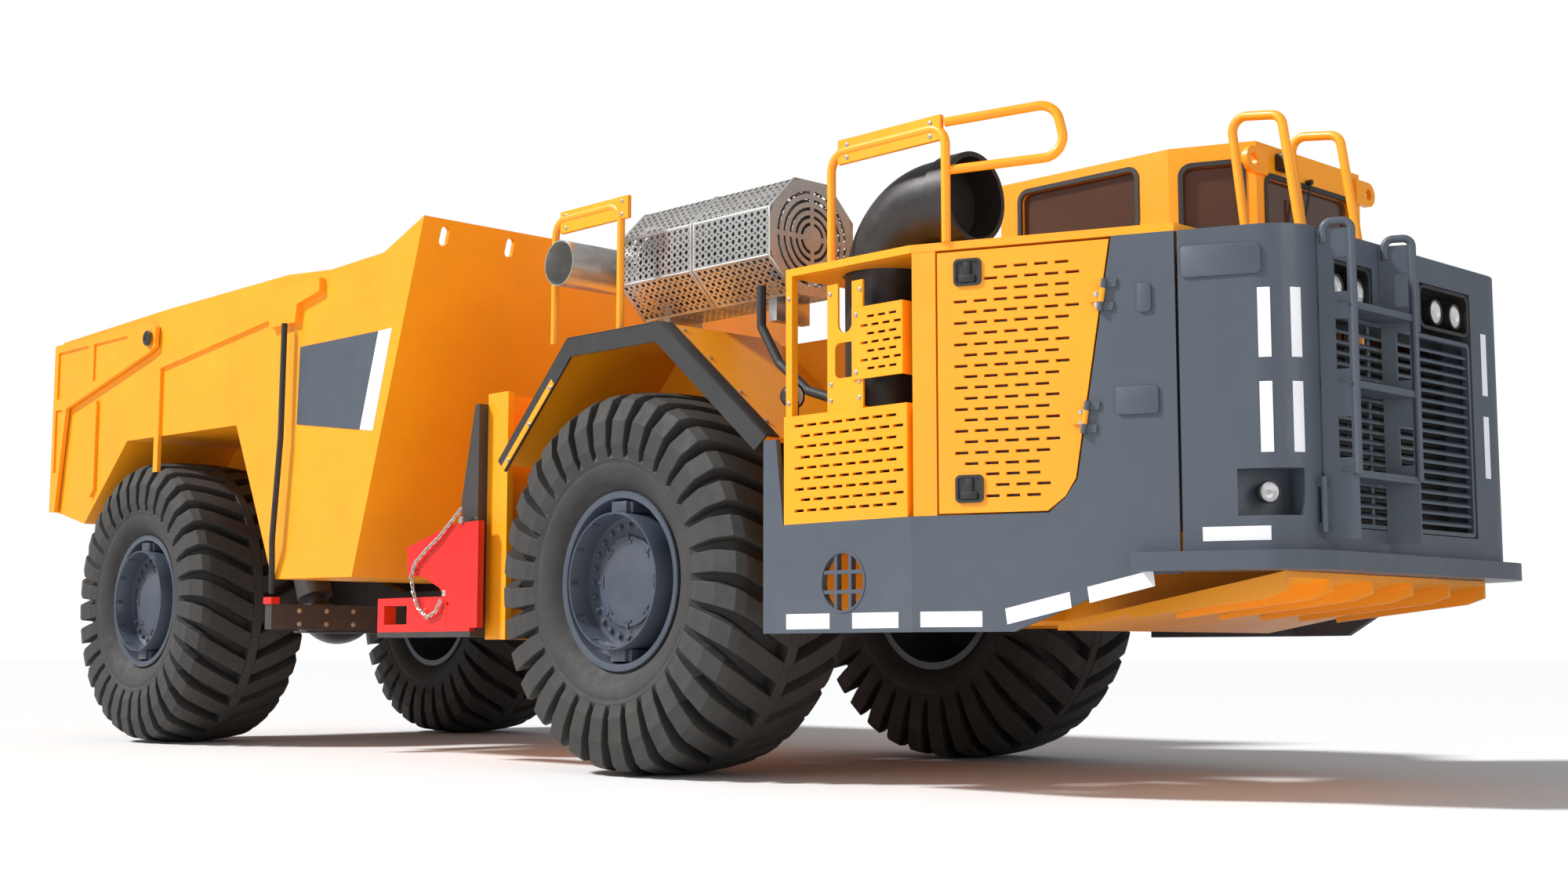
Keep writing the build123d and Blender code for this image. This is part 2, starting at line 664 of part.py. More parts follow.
def cab_shell():
    """Hollow cab with its windows and its doorway cut."""
    shell = cab_plan(0, cab_floor_z + seat_gap, cab_roof_z)
    shell -= cab_plan(cab_wall, cab_floor_z + 50, cab_roof_z - 60)
    y_out = body_half_width + 20
    for row in cab_window_table:
        shell -= cab_window(row, -20, cab_wall + 20, 0)
    shell -= block(front(door_a0), front(door_a1), body_half_width - cab_wall - 20, y_out, 1300, 3080)
    leaves = [block(cab_hinge_x - 50, cab_hinge_x, body_half_width, body_half_width + 8, z0, z1)
              for z in cab_hinge_starts for z0, z1 in ((z - 38, z - 2), (z + 62, z + 98))]
    return fused([shell] + cab_door_knuckles()[1] + leaves + lifting_eyes())


def cab_window_panes():
    """Fixed glass of the cab, set in the middle of its walls."""
    middle = cab_wall / 2
    return [cab_window(row, middle, middle + glass_thickness, -seat_gap) for row in cab_window_table]


def cab_door():
    """Left door: a framed leaf with its window cut, hung on its rear edge."""
    g = running_gap
    y0, y1 = body_half_width - cab_wall, body_half_width - 2
    leaf = block(front(door_a0) + g, front(door_a1) - g, y0, y1, 1300 + g, 3080 - g)
    leaf -= block(front(door_a0 + 90), front(door_a1 - 90), y0 - 5, y1 + 5, 2100, 3000)
    leaves = [block(cab_hinge_x, cab_hinge_x + 50, y1, body_half_width + 8, z + 2, z + 58)
              for z in cab_hinge_starts]
    return fused([leaf] + cab_door_knuckles()[0] + leaves)


def cab_door_pane():
    g = seat_gap
    mid = body_half_width - cab_wall / 2
    return block(front(door_a0 + 90) + g, front(door_a1 - 90) - g, mid, mid + glass_thickness, 2100 + g, 3000 - g)


def operator_seat():
    z0 = cab_floor_z + 50 + seat_gap
    seat = block(front(1400), front(1850), 620, 1120, z0, z0 + 330)
    seat += block(front(1350), front(1900), 600, 1140, z0 + 330, z0 + 450)
    seat += block(front(1350), front(1470), 610, 1130, z0 + 420, z0 + 1120)
    return seat


def cab_console():
    z0 = cab_floor_z + 50 + seat_gap
    body = block(front(2330), front(2560), 500, 1220, z0, z0 + 820)
    column = rod((front(2340), 870, z0 + 700), (front(2163), 870, z0 + 1010), 35)
    wheel = Plane(origin=Vector(front(2170), 870, z0 + 1000), z_dir=Vector(-160, 0, 280)) * Torus(190, 16)
    spoke = rod((front(2170), 680, z0 + 1000), (front(2170), 1060, z0 + 1000), 12)
    return fused([body, column, wheel, spoke])


def deck():
    """Yellow top plate over the engine bay with the pillars beside the battery box."""
    plate = [(1250, -body_half_width), (a_kink, -body_half_width), (3138, -side_y(3138)),
             (3138, side_y(3138)), (2660, side_y(2660)), (2660, 320), (2248, cab_inner_y - 10),
             (1250, cab_inner_y - 10)]
    z0 = deck_top_z - deck_thickness
    top = plate_xy([(front(a), y) for a, y in plate], z0, deck_top_z)
    top -= Pos(front(intake_a), intake_y, deck_top_z) * Cylinder(intake_radius + 12, 200)
    pillar = wall_plate([(10, panel_sill_z + seat_gap), (120, panel_sill_z + seat_gap), (120, z0 + 1),
                         (10, z0 + 1)], -2, -60)
    rear_post = block(front(1250), front(1290), -body_half_width, -body_half_width + 40, battery_top_z + seat_gap, z0 + 1)
    return fused([top, pillar, rear_post])


door_s0, door_s1_low, door_s1_top = 130, 746, 909
door_low_z, door_top_z = 1235, 2396


engine_hinge_s_low = 754
engine_hinge_starts = (230, 760)


def engine_door_knuckles():
    """Barrels along the door's slanted front edge, just outside the wall."""
    low = Vector(*on_wall(engine_hinge_s_low, 12), 1372)
    high = Vector(*on_wall(engine_hinge_s_low + 163, 12), 2418)
    return knuckles(tuple(low), tuple(high - low), engine_hinge_starts, 12)


def engine_door_leaves(s_from, s_to):
    """Flat leaves under the barrels, on the door (negative s) or on the panel (positive s)."""
    slope = 163 / (2418 - 1372)
    leaves = []
    for start in engine_hinge_starts:
        spans = ((start + 2, start + knuckle_length - 2),) if s_to <= 0 else (
            (start - knuckle_stub + 2, start - 2), (start + knuckle_length + 2, start + knuckle_length + 38))
        for d0, d1 in spans:
            z0, z1 = 1372 + d0 * cos(atan2(163, 1046)), 1372 + d1 * cos(atan2(163, 1046))
            line = [(engine_hinge_s_low + (z - 1372) * slope, z) for z in (z0, z1)]
            points = [(line[0][0] + s_from, z0), (line[0][0] + s_to, z0), (line[1][0] + s_to, z1),
                      (line[1][0] + s_from, z1)]
            leaves.append(wall_plate(points, 0, 8))
    return leaves


def engine_door():
    """Right engine door: slotted leaf, slanted front edge, hung on that edge."""
    outline = [(door_s0, door_low_z), (620, door_low_z), (700, 1296), (door_s1_low, 1372),
               (door_s1_top - 3, door_top_z), (door_s0, door_top_z)]
    leaf = wall_plate(outline, 0, -38)
    leaf = fused([leaf] + engine_door_knuckles()[0] + engine_door_leaves(-55, 0))
    slots = []
    for row in range(22):
        z = 1300 + row * 48
        edge = door_s1_low + (z - 1372) * (door_s1_top - door_s1_low) / (door_top_z - 1372)
        limit = min(edge, 690 + (z - 1235)) - 90
        s = door_s0 + (215 if row < 3 or row > 18 else 75) + 45 * (row % 2)
        while s + 62 < limit:
            slots.append(wall_plate([(s, z), (s + 62, z), (s + 62, z + 13), (s, z + 13)], 5, -45))
            s += 92
    return leaf - fused(slots)


intake_a, intake_y, intake_radius = 1600, -1250, 200
intake_mouth_a, intake_mouth_z = 2150, 2700


def intake_pipe():
    """Black air intake: a riser, an elbow and a mouth that faces forward."""
    bend = intake_mouth_z - 2350
    path = FilletPolyline((front(intake_a), intake_y, battery_top_z + seat_gap), (front(intake_a), intake_y, intake_mouth_z),
                          (front(intake_mouth_a), intake_y, intake_mouth_z), radius=bend)
    start = Plane(origin=path @ 0, z_dir=path % 0)
    outer = sweep(start * Circle(intake_radius), path=path)
    collar = rod((front(intake_mouth_a - 130), intake_y, intake_mouth_z),
                 (front(intake_mouth_a), intake_y, intake_mouth_z), intake_radius + 12)
    bore = rod((front(intake_mouth_a - 160), intake_y, intake_mouth_z),
               (front(intake_mouth_a + 10), intake_y, intake_mouth_z), intake_radius - 12)
    return outer + collar - bore


muffler_a0, muffler_a1, muffler_y, muffler_z, muffler_flats = -283, 890, -1050, 2730, 600


def muffler_guard():
    """Octagonal guard in two sections round the muffler."""
    wall = 12
    parts = []
    half = (muffler_a0 + muffler_a1) / 2
    for a0, a1 in ((muffler_a0, half - 4), (half + 4, muffler_a1)):
        outer = Plane(origin=Vector(front(a0), muffler_y, muffler_z), z_dir=(1, 0, 0)) * extrude(
            RegularPolygon(muffler_flats / 2, 8, major_radius=False, rotation=22.5), a1 - a0)
        inner = Plane(origin=Vector(front(a0) + (wall if a0 == muffler_a0 else -1), muffler_y, muffler_z),
                      z_dir=(1, 0, 0)) * extrude(
            RegularPolygon(muffler_flats / 2 - wall, 8, major_radius=False, rotation=22.5), a1 - a0 - wall + 1)
        parts.append(outer - inner)
    parts.append(rod((front(muffler_a0 + wall - 2), muffler_y, muffler_z), (front(muffler_a1 - wall), muffler_y,
                                                                    muffler_z), 235))
    low = muffler_z - muffler_flats / 2
    for a in (muffler_a0 + 150, muffler_a1 - 190):
        parts.append(block(front(a), front(a + 60), muffler_y - 120, muffler_y + 120, fender_top_z, low + 4))
    return fused(parts)


guard_slot_width = 20
guard_slot_radii = (75, 130, 185, 240)
guard_bar_half_width = 14


def muffler_end_plate():
    """Front end of the guard, with rings of curved slots between straight bars."""
    x0 = front(muffler_a1) + seat_gap
    plate = Plane(origin=Vector(x0, muffler_y, muffler_z), z_dir=(1, 0, 0)) * extrude(
        RegularPolygon(muffler_flats / 2, 8, major_radius=False, rotation=22.5), muffler_end_thickness)
    x1 = x0 + muffler_end_thickness
    slots = []
    for radius in guard_slot_radii:
        ring = rod((x0 - 5, muffler_y, muffler_z), (x1 + 5, muffler_y, muffler_z), radius + guard_slot_width / 2)
        ring -= rod((x0 - 5, muffler_y, muffler_z), (x1 + 5, muffler_y, muffler_z), radius - guard_slot_width / 2)
        slots.append(ring)
    bars = Box(4 * muffler_end_thickness, 2 * guard_bar_half_width, 2 * muffler_flats)
    cross = bars + Rot(60, 0, 0) * bars + Rot(-60, 0, 0) * bars
    cutter = fused(slots) - Pos(x0, muffler_y, muffler_z) * cross
    return plate - cutter


muffler_end_thickness = 8


def exhaust_pipe():
    """Outlet that leaves the guard's rear end and turns to the right."""
    a = -495
    r = 125
    x_end = front(muffler_a0) - seat_gap
    path = FilletPolyline((x_end, muffler_y, muffler_z), (front(a), muffler_y, muffler_z),
                          (front(a), -1600, muffler_z), radius=190)
    start = Plane(origin=path @ 0, z_dir=path % 0)
    tube = sweep(start * Circle(r), path=path)
    tube -= rod((front(a), -1300, muffler_z), (front(a), -1620, muffler_z), r - 6)
    return tube


fender_top_z = 2312
fender_plate = 25
fender_inner_y = 760
fender_points = ((-1076, 1692), (-465, 2312), (303, 2312), (1090, 1660))


def fender():
    """Right wheel arch: three flats and the inner wall beside the wheel."""
    outer = [(front(a), z) for a, z in fender_points]
    t = fender_plate
    inner = [(front(-1060), 1672), (front(-455), 2312 - t), (front(293), 2312 - t), (front(1070), 1640)]
    arch = plate_xz(outer + inner[::-1], -1550, -fender_inner_y)
    a_rear = a_bulkhead + bulkhead_thickness + seat_gap
    low = tyre_radius + axle_end_radius + 15
    wall = plate_xz(outer + [(front(1090), low), (front(a_rear), low), (front(a_rear), 1692)],
                    -fender_inner_y - 5, -fender_inner_y + t)
    return arch + wall


def fender_seal():
    """Black edge strip round the arch."""
    outer = [(front(a), z) for a, z in fender_points]
    inner = [(front(-1010), 1630), (front(-430), 2215), (front(270), 2215), (front(1010), 1600)]
    return plate_xz(outer + inner[::-1], -1562, -1550 - seat_gap)


def centre_cover():
    """Housing over the transmission, between the wheel arches."""
    y = fender_inner_y - fender_plate - seat_gap
    shell = block(front(-950), front(1090), -y, y, 1500, fender_top_z - 40)
    return shell


def rear_hoop():
    y = -1500
    z = 3000
    hoop = pipe([(front(-655), y, fender_top_z + seat_gap), (front(-655), y, z), (front(-89), y, z),
                 (front(-89), y, fender_top_z + seat_gap)], rail_radius, rail_bend)
    return hoop + block(front(-600), front(-20), y - 12, y + 12, z - 80, z + 40)


def front_hoop():
    y = -1510
    z = 2975
    hoop = pipe([(front(1487), y, deck_top_z + seat_gap), (front(1487), y, z), (front(2200), y, z),
                 (front(2200), y, deck_top_z + seat_gap)], rail_radius, rail_bend)
    plate = block(front(1540), front(2180), y - 12, y + 12, z - 60, z + 55)
    loop = pipe([(front(2190), y + 10, z + 20), (front(2640), y + 230, z + 60), (front(2690), y + 250, z - 180),
                 (front(2195), y + 15, z - 200)], rail_radius, rail_bend)
    return fused([hoop, plate, loop])


def hood_rails():
    """Two leaning hoops, each with its rear leg on the deck and its front leg on the hood."""
    parts = []
    for y in hood_rail_places:
        z_deck, z_hood = deck_top_z + seat_gap, hood_top_z + seat_gap
        parts.append(pipe([(front(3095), y, z_deck), (front(3095), y, z_deck + 60), (front(3030), y, 3045),
                           (front(3290), y, 3005), (front(3370), y, z_hood + 60), (front(3370), y, z_hood)],
                          rail_radius, 65))
    return parts


hood_rail_places = (-500, 0)


# the side plates in plan, from the hinge side to the front edge
ladder_x0 = front(a_nose) + 6
ladder_x1 = front(front_overhang) - rail_radius
ladder_right_y, ladder_left_y = -770, -258
ladder_cant = 62
ladder_plate = 10
ladder_low_z, ladder_top_z = 1095, 2395
ladder_rail_low_z = 1360
ladder_hinge_x, ladder_hinge_y = front(a_nose) + 22, -797
ladder_hinge_radius = 14
ladder_hinge_z0, ladder_hinge_z1 = 1160, 1310
ladder_hinge_lugs = ((ladder_hinge_z0 - 40, ladder_hinge_z0 - seat_gap),
                     (ladder_hinge_z1 + seat_gap, ladder_hinge_z1 + 40))
ladder_steps = ((1378, 60), (1752, 60), (2085, 0))       # top of the tread, reach behind the plates
ladder_holes = ((1430, 1600), (1800, 2010), (2125, 2270))
ladder_tread = 30


def ladder_gate():
    """Ladder on the nose that swings aside on the hinge beside its right plate."""
    def plan_y(y, x):
        return y + ladder_cant * (x - ladder_x0) / (ladder_x1 - ladder_x0)

    parts = []
    for y in (ladder_right_y, ladder_left_y):
        corners = [(ladder_x0, y), (ladder_x1, y + ladder_cant), (ladder_x1, y + ladder_cant + ladder_plate),
                   (ladder_x0, y + ladder_plate)]
        plate = plate_xy(corners, ladder_low_z, ladder_top_z)
        for z0, z1 in ladder_holes:
            plate -= block(ladder_x0 + 55, ladder_x1 - 18, y - 50, y + ladder_cant + 50, z0, z1)
        parts.append(plate)
        y_rail = y + ladder_cant + ladder_plate / 2
        parts.append(pipe([(ladder_x1, y_rail, ladder_rail_low_z), (ladder_x1, y_rail, ladder_top_z + 30),
                           (ladder_x0 + 20, plan_y(y, ladder_x0 + 20) + ladder_plate / 2, ladder_top_z + 30),
                           (ladder_x0 + 20, plan_y(y, ladder_x0 + 20) + ladder_plate / 2, ladder_top_z - 60)],
                          rail_radius * 0.8, 38))
    for z, reach in ladder_steps:
        step = [(x, plan_y(y, x)) for x, y in ((ladder_x0, ladder_right_y + 4), (ladder_x1, ladder_right_y + 4),
                                              (ladder_x1, ladder_left_y + 6), (ladder_x0, ladder_left_y + 6))]
        parts.append(plate_xy(step, z - ladder_tread, z))
        if reach:
            parts.append(block(ladder_x0 - reach, ladder_x0 + 5, grille_y0 + 35, ladder_left_y, z - ladder_tread, z))
    parts.append(rod((ladder_hinge_x, ladder_hinge_y, ladder_hinge_z0), (ladder_hinge_x, ladder_hinge_y, ladder_hinge_z1),
                     ladder_hinge_radius))
    parts.append(block(ladder_hinge_x - 5, ladder_hinge_x + 5, ladder_hinge_y, ladder_right_y + 12, ladder_hinge_z0,
                       ladder_hinge_z1))
    return fused(parts)


def engine_block():
    return block(front(1900), front(3000), -760, 60, rail_top_z + seat_gap, 2250)


def corner_lamp():
    a_centre = a_nose - nose_radius
    turned = Rot(0, 0, -corner_turn) * rod((corner_pocket_floor + seat_gap, corner_lamp_t, corner_lamp_z),
                                           (corner_pocket_floor + corner_lamp_depth, corner_lamp_t, corner_lamp_z),
                                           corner_lamp_radius)
    return Pos(front(a_centre), -side_y(a_centre, nose_radius), 0) * turned


def lamps():
    """Front pairs in their pockets over the grille and one in each rounded corner."""
    x = front(a_nose - grille_setback) + seat_gap
    pairs = [rod((x, y, lamp_z), (x + lamp_depth, y, lamp_z), lamp_radius) for y in lamp_places]
    return pairs + pair(corner_lamp())


lamp_places = (-560, -380, 316, 497)

# ---- rear unit --------------------------------------------------------------------------------
rear_rail_half_gap = 330
b_hitch = hitch_x - rear_axle_x
b_tail = -overall_length / 2 - rear_axle_x
box_hinge_b, box_hinge_z = -1000, 1400
box_pin_radius = 55


def rear_frame():
    """Rails from the hitch to the box's hinge, the hoist beam and the rope anchors."""
    b_end = b_hitch - 470
    outline = [(b_end, rail_low_z + 10), (900, rail_low_z + 10), (600, 900), (-900, 1100), (-1180, 1250),
               (-1180, 1330), (-900, 1330), (500, 1300), (1500, hitch_top_z), (b_end, hitch_top_z)]
    parts = pair(plate_xz([(rear(b), z) for b, z in outline], rear_rail_half_gap, rear_rail_half_gap + 70))
    for b, low, high in ((b_end - 60, 770, 1010), (420, 980, 1290), (-1150, 1200, 1320)):
        parts.append(block(rear(b), rear(b + 60), -rear_rail_half_gap - 5, rear_rail_half_gap + 5, low, high))
    ear = [(b_end - 5, -340), (b_hitch, -150), (b_hitch + 150, 0), (b_hitch, 150), (b_end - 5, 340)]
    for low in (rail_low_z + ear_thickness + ear_gap, hitch_top_z - 2 * ear_thickness - ear_gap):
        parts.append(plate_xy([(rear(b), y) for b, y in ear], low, low + ear_thickness))
    b_rod, y_rod = b_hitch + steering_rear_b, steering_rear_y
    lug = [(b_end - 160, rear_rail_half_gap + 5), (b_end, rear_rail_half_gap + 5), (b_rod + 60, y_rod - 60),
           (b_rod + 60, y_rod + 60), (b_rod - 60, y_rod + 60)]
    for z in (steering_z - 45 - running_gap - 25, steering_z + 45 + running_gap):
        parts += pair(plate_xy([(rear(b), y) for b, y in lug], z, z + 25))
    hinge = [(box_hinge_b - 90, 1300), (box_hinge_b + 140, 1300), (box_hinge_b + 70, 1450),
             (box_hinge_b - 70, 1450)]
    for y in (-400, 330):
        parts.append(plate_xz([(rear(b), z) for b, z in hinge], y, y + 70))
    b0 = hoist_foot_b
    parts.append(block(rear(b0 - 80), rear(b0 + 80), -hoist_y - 130, hoist_y + 130, 760, hoist_foot_z - 125))
    for y in (hoist_y - 80, hoist_y + 60):
        foot = [(b0 - 75, 770), (b0 + 75, 770), (b0 + 50, hoist_foot_z + 55), (b0 - 50, hoist_foot_z + 55)]
        parts += pair(plate_xz([(rear(b), z) for b, z in foot], y, y + 20))
    parts += pair(block(rear(rope_b - 40), rear(rope_b + 40), rear_rail_half_gap + 20, rope_y + 20, 780, 940))
    parts += pair(rod((rear(b0), hoist_y - 95, hoist_foot_z), (rear(b0), hoist_y + 95, hoist_foot_z),
                      hoist_pin_radius - running_fit))
    frame = fused(parts)
    frame -= block(rear(-axle_end_radius - 20), rear(axle_end_radius + 20), -700, 700, 500, axle_seat_z)
    frame -= Pos(rear_axle_x, 0, tyre_radius) * Sphere(axle_arch_radius)
    frame -= rod((hitch_x, 0, 600), (hitch_x, 0, 1400), hitch_pin_radius + running_fit)
    frame -= rod((rear(box_hinge_b), -500, box_hinge_z), (rear(box_hinge_b), 500, box_hinge_z),
                 box_pin_radius + running_fit)
    return frame


def hitch_pin():
    return rod((hitch_x, 0, rail_low_z - 20), (hitch_x, 0, hitch_top_z + 15), hitch_pin_radius)


hoist_y = 1180
hoist_foot_b, hoist_foot_z = 1700, 900
hoist_eye_b, hoist_eye_z = 1230, 2020
hoist_radii = (115, 95, 76, 58)
hoist_pin_radius = 35
rope_b = 1836
rope_y = box_half_width + 5
rope_top_y = box_half_width + 60
rope_cover_z = 2735


def hoist_line():
    foot = Vector(rear(hoist_foot_b), 0, hoist_foot_z)
    eye = Vector(rear(hoist_eye_b), 0, hoist_eye_z)
    return foot, eye - foot


def along_hoist(distance, y):
    foot, line = hoist_line()
    p = foot + line.normalized() * distance
    return (p.X, y, p.Z)


def hoist_tube(stage):
    """One stage of both telescopic hoist cylinders; stage 0 is the barrel, the last one the rod."""
    foot, line = hoist_line()
    closed = line.length
    radius = hoist_radii[stage]
    parts = []
    for y in (-hoist_y, hoist_y):
        if stage == 0:
            tube = rod(along_hoist(100, y), along_hoist(closed - 150, y), radius)
            tube += rod(along_hoist(30, y), along_hoist(110, y), 52)
            tube -= rod(along_hoist(120, y), along_hoist(closed, y), hoist_radii[1] + running_fit)
            eye = rod((foot.X, y - 58, foot.Z), (foot.X, y + 58, foot.Z), 75)
            parts.append(tube + eye - rod((foot.X, y - 60, foot.Z), (foot.X, y + 60, foot.Z), hoist_pin_radius))
        elif stage < len(hoist_radii) - 1:
            start, end = 125 + 15 * (stage - 1), closed - 150 + 12 * stage
            tube = rod(along_hoist(start, y), along_hoist(end, y), radius)
            tube -= rod(along_hoist(start + 15, y), along_hoist(closed, y), hoist_radii[stage + 1] + running_fit)
            parts.append(tube)
        else:
            tube = rod(along_hoist(165, y), along_hoist(closed - 40, y), radius)
            x, z = rear(hoist_eye_b), hoist_eye_z
            eye = rod((x, y - 48, z), (x, y + 48, z), 70)
            parts.append(tube + eye - rod((x, y - 60, z), (x, y + 60, z), hoist_pin_radius))
    return parts


box_side_outline = ((-960, 1590), (-300, 2160), (1300, 2140), (1825, 1100), (2775, 1090))
box_floor_outline = ((-650, 1470), (1350, 1350), (1825, 1100), (2775, 1090))
box_front_top = (3485, 3210)
box_trough_half_width = 720
b_box_tail = b_tail + tailgate_thickness + running_gap


def side_prism(points, half_width, inset=0):
    """A profile in stations and Z run across the machine, drawn inwards by an inset."""
    face = Polygon(*[(rear(b), z) for b, z in points], align=None)
    if inset:
        face = offset(face, -inset, kind=Kind.INTERSECTION)
    return Rot(90, 0, 0) * extrude(face, half_width, both=True)


def dump_box():
    """Hopper-shaped box: side walls over the wheels, a trough between them and a raked front wall."""
    tail_low = 1700
    rim = [box_front_top, (3055, 3050), (2455, 3030), (1935, 3070), (205, 3055), (b_box_tail, 3010)]
    outside = side_prism([(b_box_tail, tail_low)] + list(box_side_outline) + rim, box_half_width)
    outside += side_prism([(b_box_tail, tail_low)] + list(box_floor_outline) + [(2900, 2200), (b_box_tail, 2200)],
                          box_trough_half_width)
    b_open, top = b_box_tail - 300, 4200
    rake = (box_front_top[0] - 2775) / (box_front_top[1] - 1090)
    b_lip = box_front_top[0] + rake * (top - box_front_top[1])
    inside = side_prism([(b_open, tail_low + 60)] + list(box_side_outline) + [(b_lip, top), (b_open, top)],
                        box_half_width - box_wall, box_wall)
    inside += side_prism([(b_open, tail_low)] + list(box_floor_outline) + [(2900, 2900), (b_open, 2900)],
                         box_trough_half_width - box_wall, box_floor)
    box = outside - inside
    parts = [box]
    for y in (-box_half_width, box_half_width - 60):
        top_rail = [(b_box_tail, 3010), (205, 3055), (1935, 3070), (1935, 3020), (205, 3005), (b_box_tail, 2960)]
        parts.append(side_prism_at(top_rail, y, y + 60))
    ear_low = hoist_eye_z - 60
    for y0 in (hoist_y - 80, hoist_y + 60):
        ear = [(hoist_eye_b - 60, 2145), (hoist_eye_b - 45, ear_low), (hoist_eye_b + 45, ear_low),
               (hoist_eye_b + 60, 2145)]
        parts += pair(side_prism_at(ear, y0, y0 + 20))
    x, z = rear(box_hinge_b), box_hinge_z
    for y0 in (-505, 410):
        ear = [(box_hinge_b - 130, 1640), (box_hinge_b - 75, z - 70), (box_hinge_b + 75, z - 70),
               (box_hinge_b + 150, 1560)]
        parts.append(side_prism_at(ear, y0, y0 + 95))
    parts.append(rod((x, -505, z), (x, 505, z), box_pin_radius))
    x, z = rear(tailgate_pin_b), tailgate_pin_z
    parts += pair(rod((x, box_half_width - 20, z), (x, box_half_width + running_gap + tailgate_arm_thickness + 12, z),
                      tailgate_pin_radius))
    for outline, proud in box_trim:
        parts += pair(side_prism_at(outline, box_half_width - 5, box_half_width + proud))
    box = fused(parts)
    slots = []
    for y in front_slot_places:
        for d in (-front_slot_reach, front_slot_reach):
            slots.append(rod((rear(box_front_top[0]) - 150, y, front_slot_z + d),
                             (rear(box_front_top[0]) + 50, y, front_slot_z + d), front_slot_radius))
        slots.append(block(rear(box_front_top[0]) - 150, rear(box_front_top[0]) + 50, y - front_slot_radius,
                           y + front_slot_radius, front_slot_z - front_slot_reach,
                           front_slot_z + front_slot_reach))
    return box - fused(slots + [mirrored(slot) for slot in slots])


# outlines in stations and Z on the box's sides, and how far each stands out
box_trim = (
    (((1765, rope_cover_z), (2090, rope_cover_z), (2110, 2850), (2380, 2900), (2380, 2985), (1750, 2985)), 40),
    (((215, 2635), (215, 2700), (1765, 2860), (1765, 2795)), 22),      # diagonal stiffener
    (((160, 1900), (225, 1900), (225, 2640), (160, 2600)), 22),        # posts under it
    (((-850, 1780), (-785, 1840), (-785, 2500), (-850, 2490)), 22),
)
front_slot_places = (450, 950, 1430)
front_slot_z, front_slot_reach, front_slot_radius = 3115, 28, 30


tailgate_pin_b, tailgate_pin_z, tailgate_pin_radius = 75, 2865, 40


def side_prism_at(points, y0, y1):
    return plate_xz([(rear(b), z) for b, z in points], y0, y1)


# recesses in the arms, in stations and Z
tailgate_pocket_depth = 14
tailgate_pockets = (
    ((b_tail + 60, 2560), (-910, 2625), (-910, 2925), (b_tail + 60, 2925)),
    ((-820, 2640), (-270, 2755), (-270, 2925), (-820, 2925)),
    ((b_tail + 45, 2000), (b_tail + 85, 2000), (b_tail + 165, 2480), (b_tail + 45, 2480)),
)


def tailgate():
    """Rear plate on two arms that turn on pins in the box's sides."""
    y0 = box_half_width + running_gap
    y1 = y0 + tailgate_arm_thickness
    b0 = b_tail
    arm = [(b0, 1700), (b0 + 90, 1700), (b0 + 230, 2480), (tailgate_pin_b - 20, 2760), (tailgate_pin_b + 90, 2800),
           (tailgate_pin_b + 90, 2940), (tailgate_pin_b, 2985), (b0, 2985)]
    parts = pair(side_prism_at(arm, y0, y1))
    parts.append(block(rear(b0), rear(b0 + tailgate_thickness), -y1, y1, 1700, 2985))
    for i in range(5):
        y = -1300 + 650 * i
        parts.append(block(rear(b0), rear(b0) + 20, y - 40, y + 40, 1720, 2960))
    gate = fused(parts)
    for outline in tailgate_pockets:
        for pocket in pair(side_prism_at(outline, y1 - tailgate_pocket_depth, y1 + 1)):
            gate -= pocket
    x, z = rear(tailgate_pin_b), tailgate_pin_z
    return gate - rod((x, -2000, z), (x, 2000, z), tailgate_pin_radius + running_fit)


def tailgate_ropes():
    """Ropes from the covers on the box's sides down to the anchors on the rear frame."""
    y = rope_top_y
    rope = pipe([(rear(2000), y, rope_cover_z - seat_gap), (rear(1990), y, 2000), (rear(1920), y, 1350),
                 (rear(rope_b), rope_y, 1010)], 19, 300)
    return pair(rope)


def rope_anchors():
    return pair(block(rear(rope_b - 50), rear(rope_b + 50), rope_y - 30, rope_y + 30, 940 + seat_gap, 985))


def steering_cylinder(side):
    """Barrel on the front frame and rod on the rear frame, beside the hitch."""
    z = steering_z
    start = Vector(front(steering_front_a), side * steering_front_y, z)
    end = Vector(hitch_x + steering_rear_b, side * steering_rear_y, z)
    line = (end - start).normalized()
    length = (end - start).length

    def at(d):
        p = start + line * d
        return (p.X, p.Y, p.Z)

    barrel = rod(at(100), at(steering_barrel_length), 65) + rod(at(30), at(110), 42)
    barrel -= rod(at(130), at(length), 38 + running_fit)
    barrel += rod((start.X, start.Y, z - 45), (start.X, start.Y, z + 45), 60)
    barrel -= rod((start.X, start.Y, z - 90), (start.X, start.Y, z + 90), steering_pin_radius + running_fit)
    piston = rod(at(length - steering_rod_length), at(length - 40), 38)
    piston += rod((end.X, end.Y, z - 45), (end.X, end.Y, z + 45), 55)
    piston -= rod((end.X, end.Y, z - 90), (end.X, end.Y, z + 90), steering_pin_radius)
    return barrel, piston


lock_y0, lock_y1 = -1582, -1542
lock_fork_y1 = -1500
lock_fork_a0, lock_fork_a1 = -2240, -1525
lock_fork_window = (-2170, -1930)
lock_foot_z0, lock_foot_z1 = 720, 750


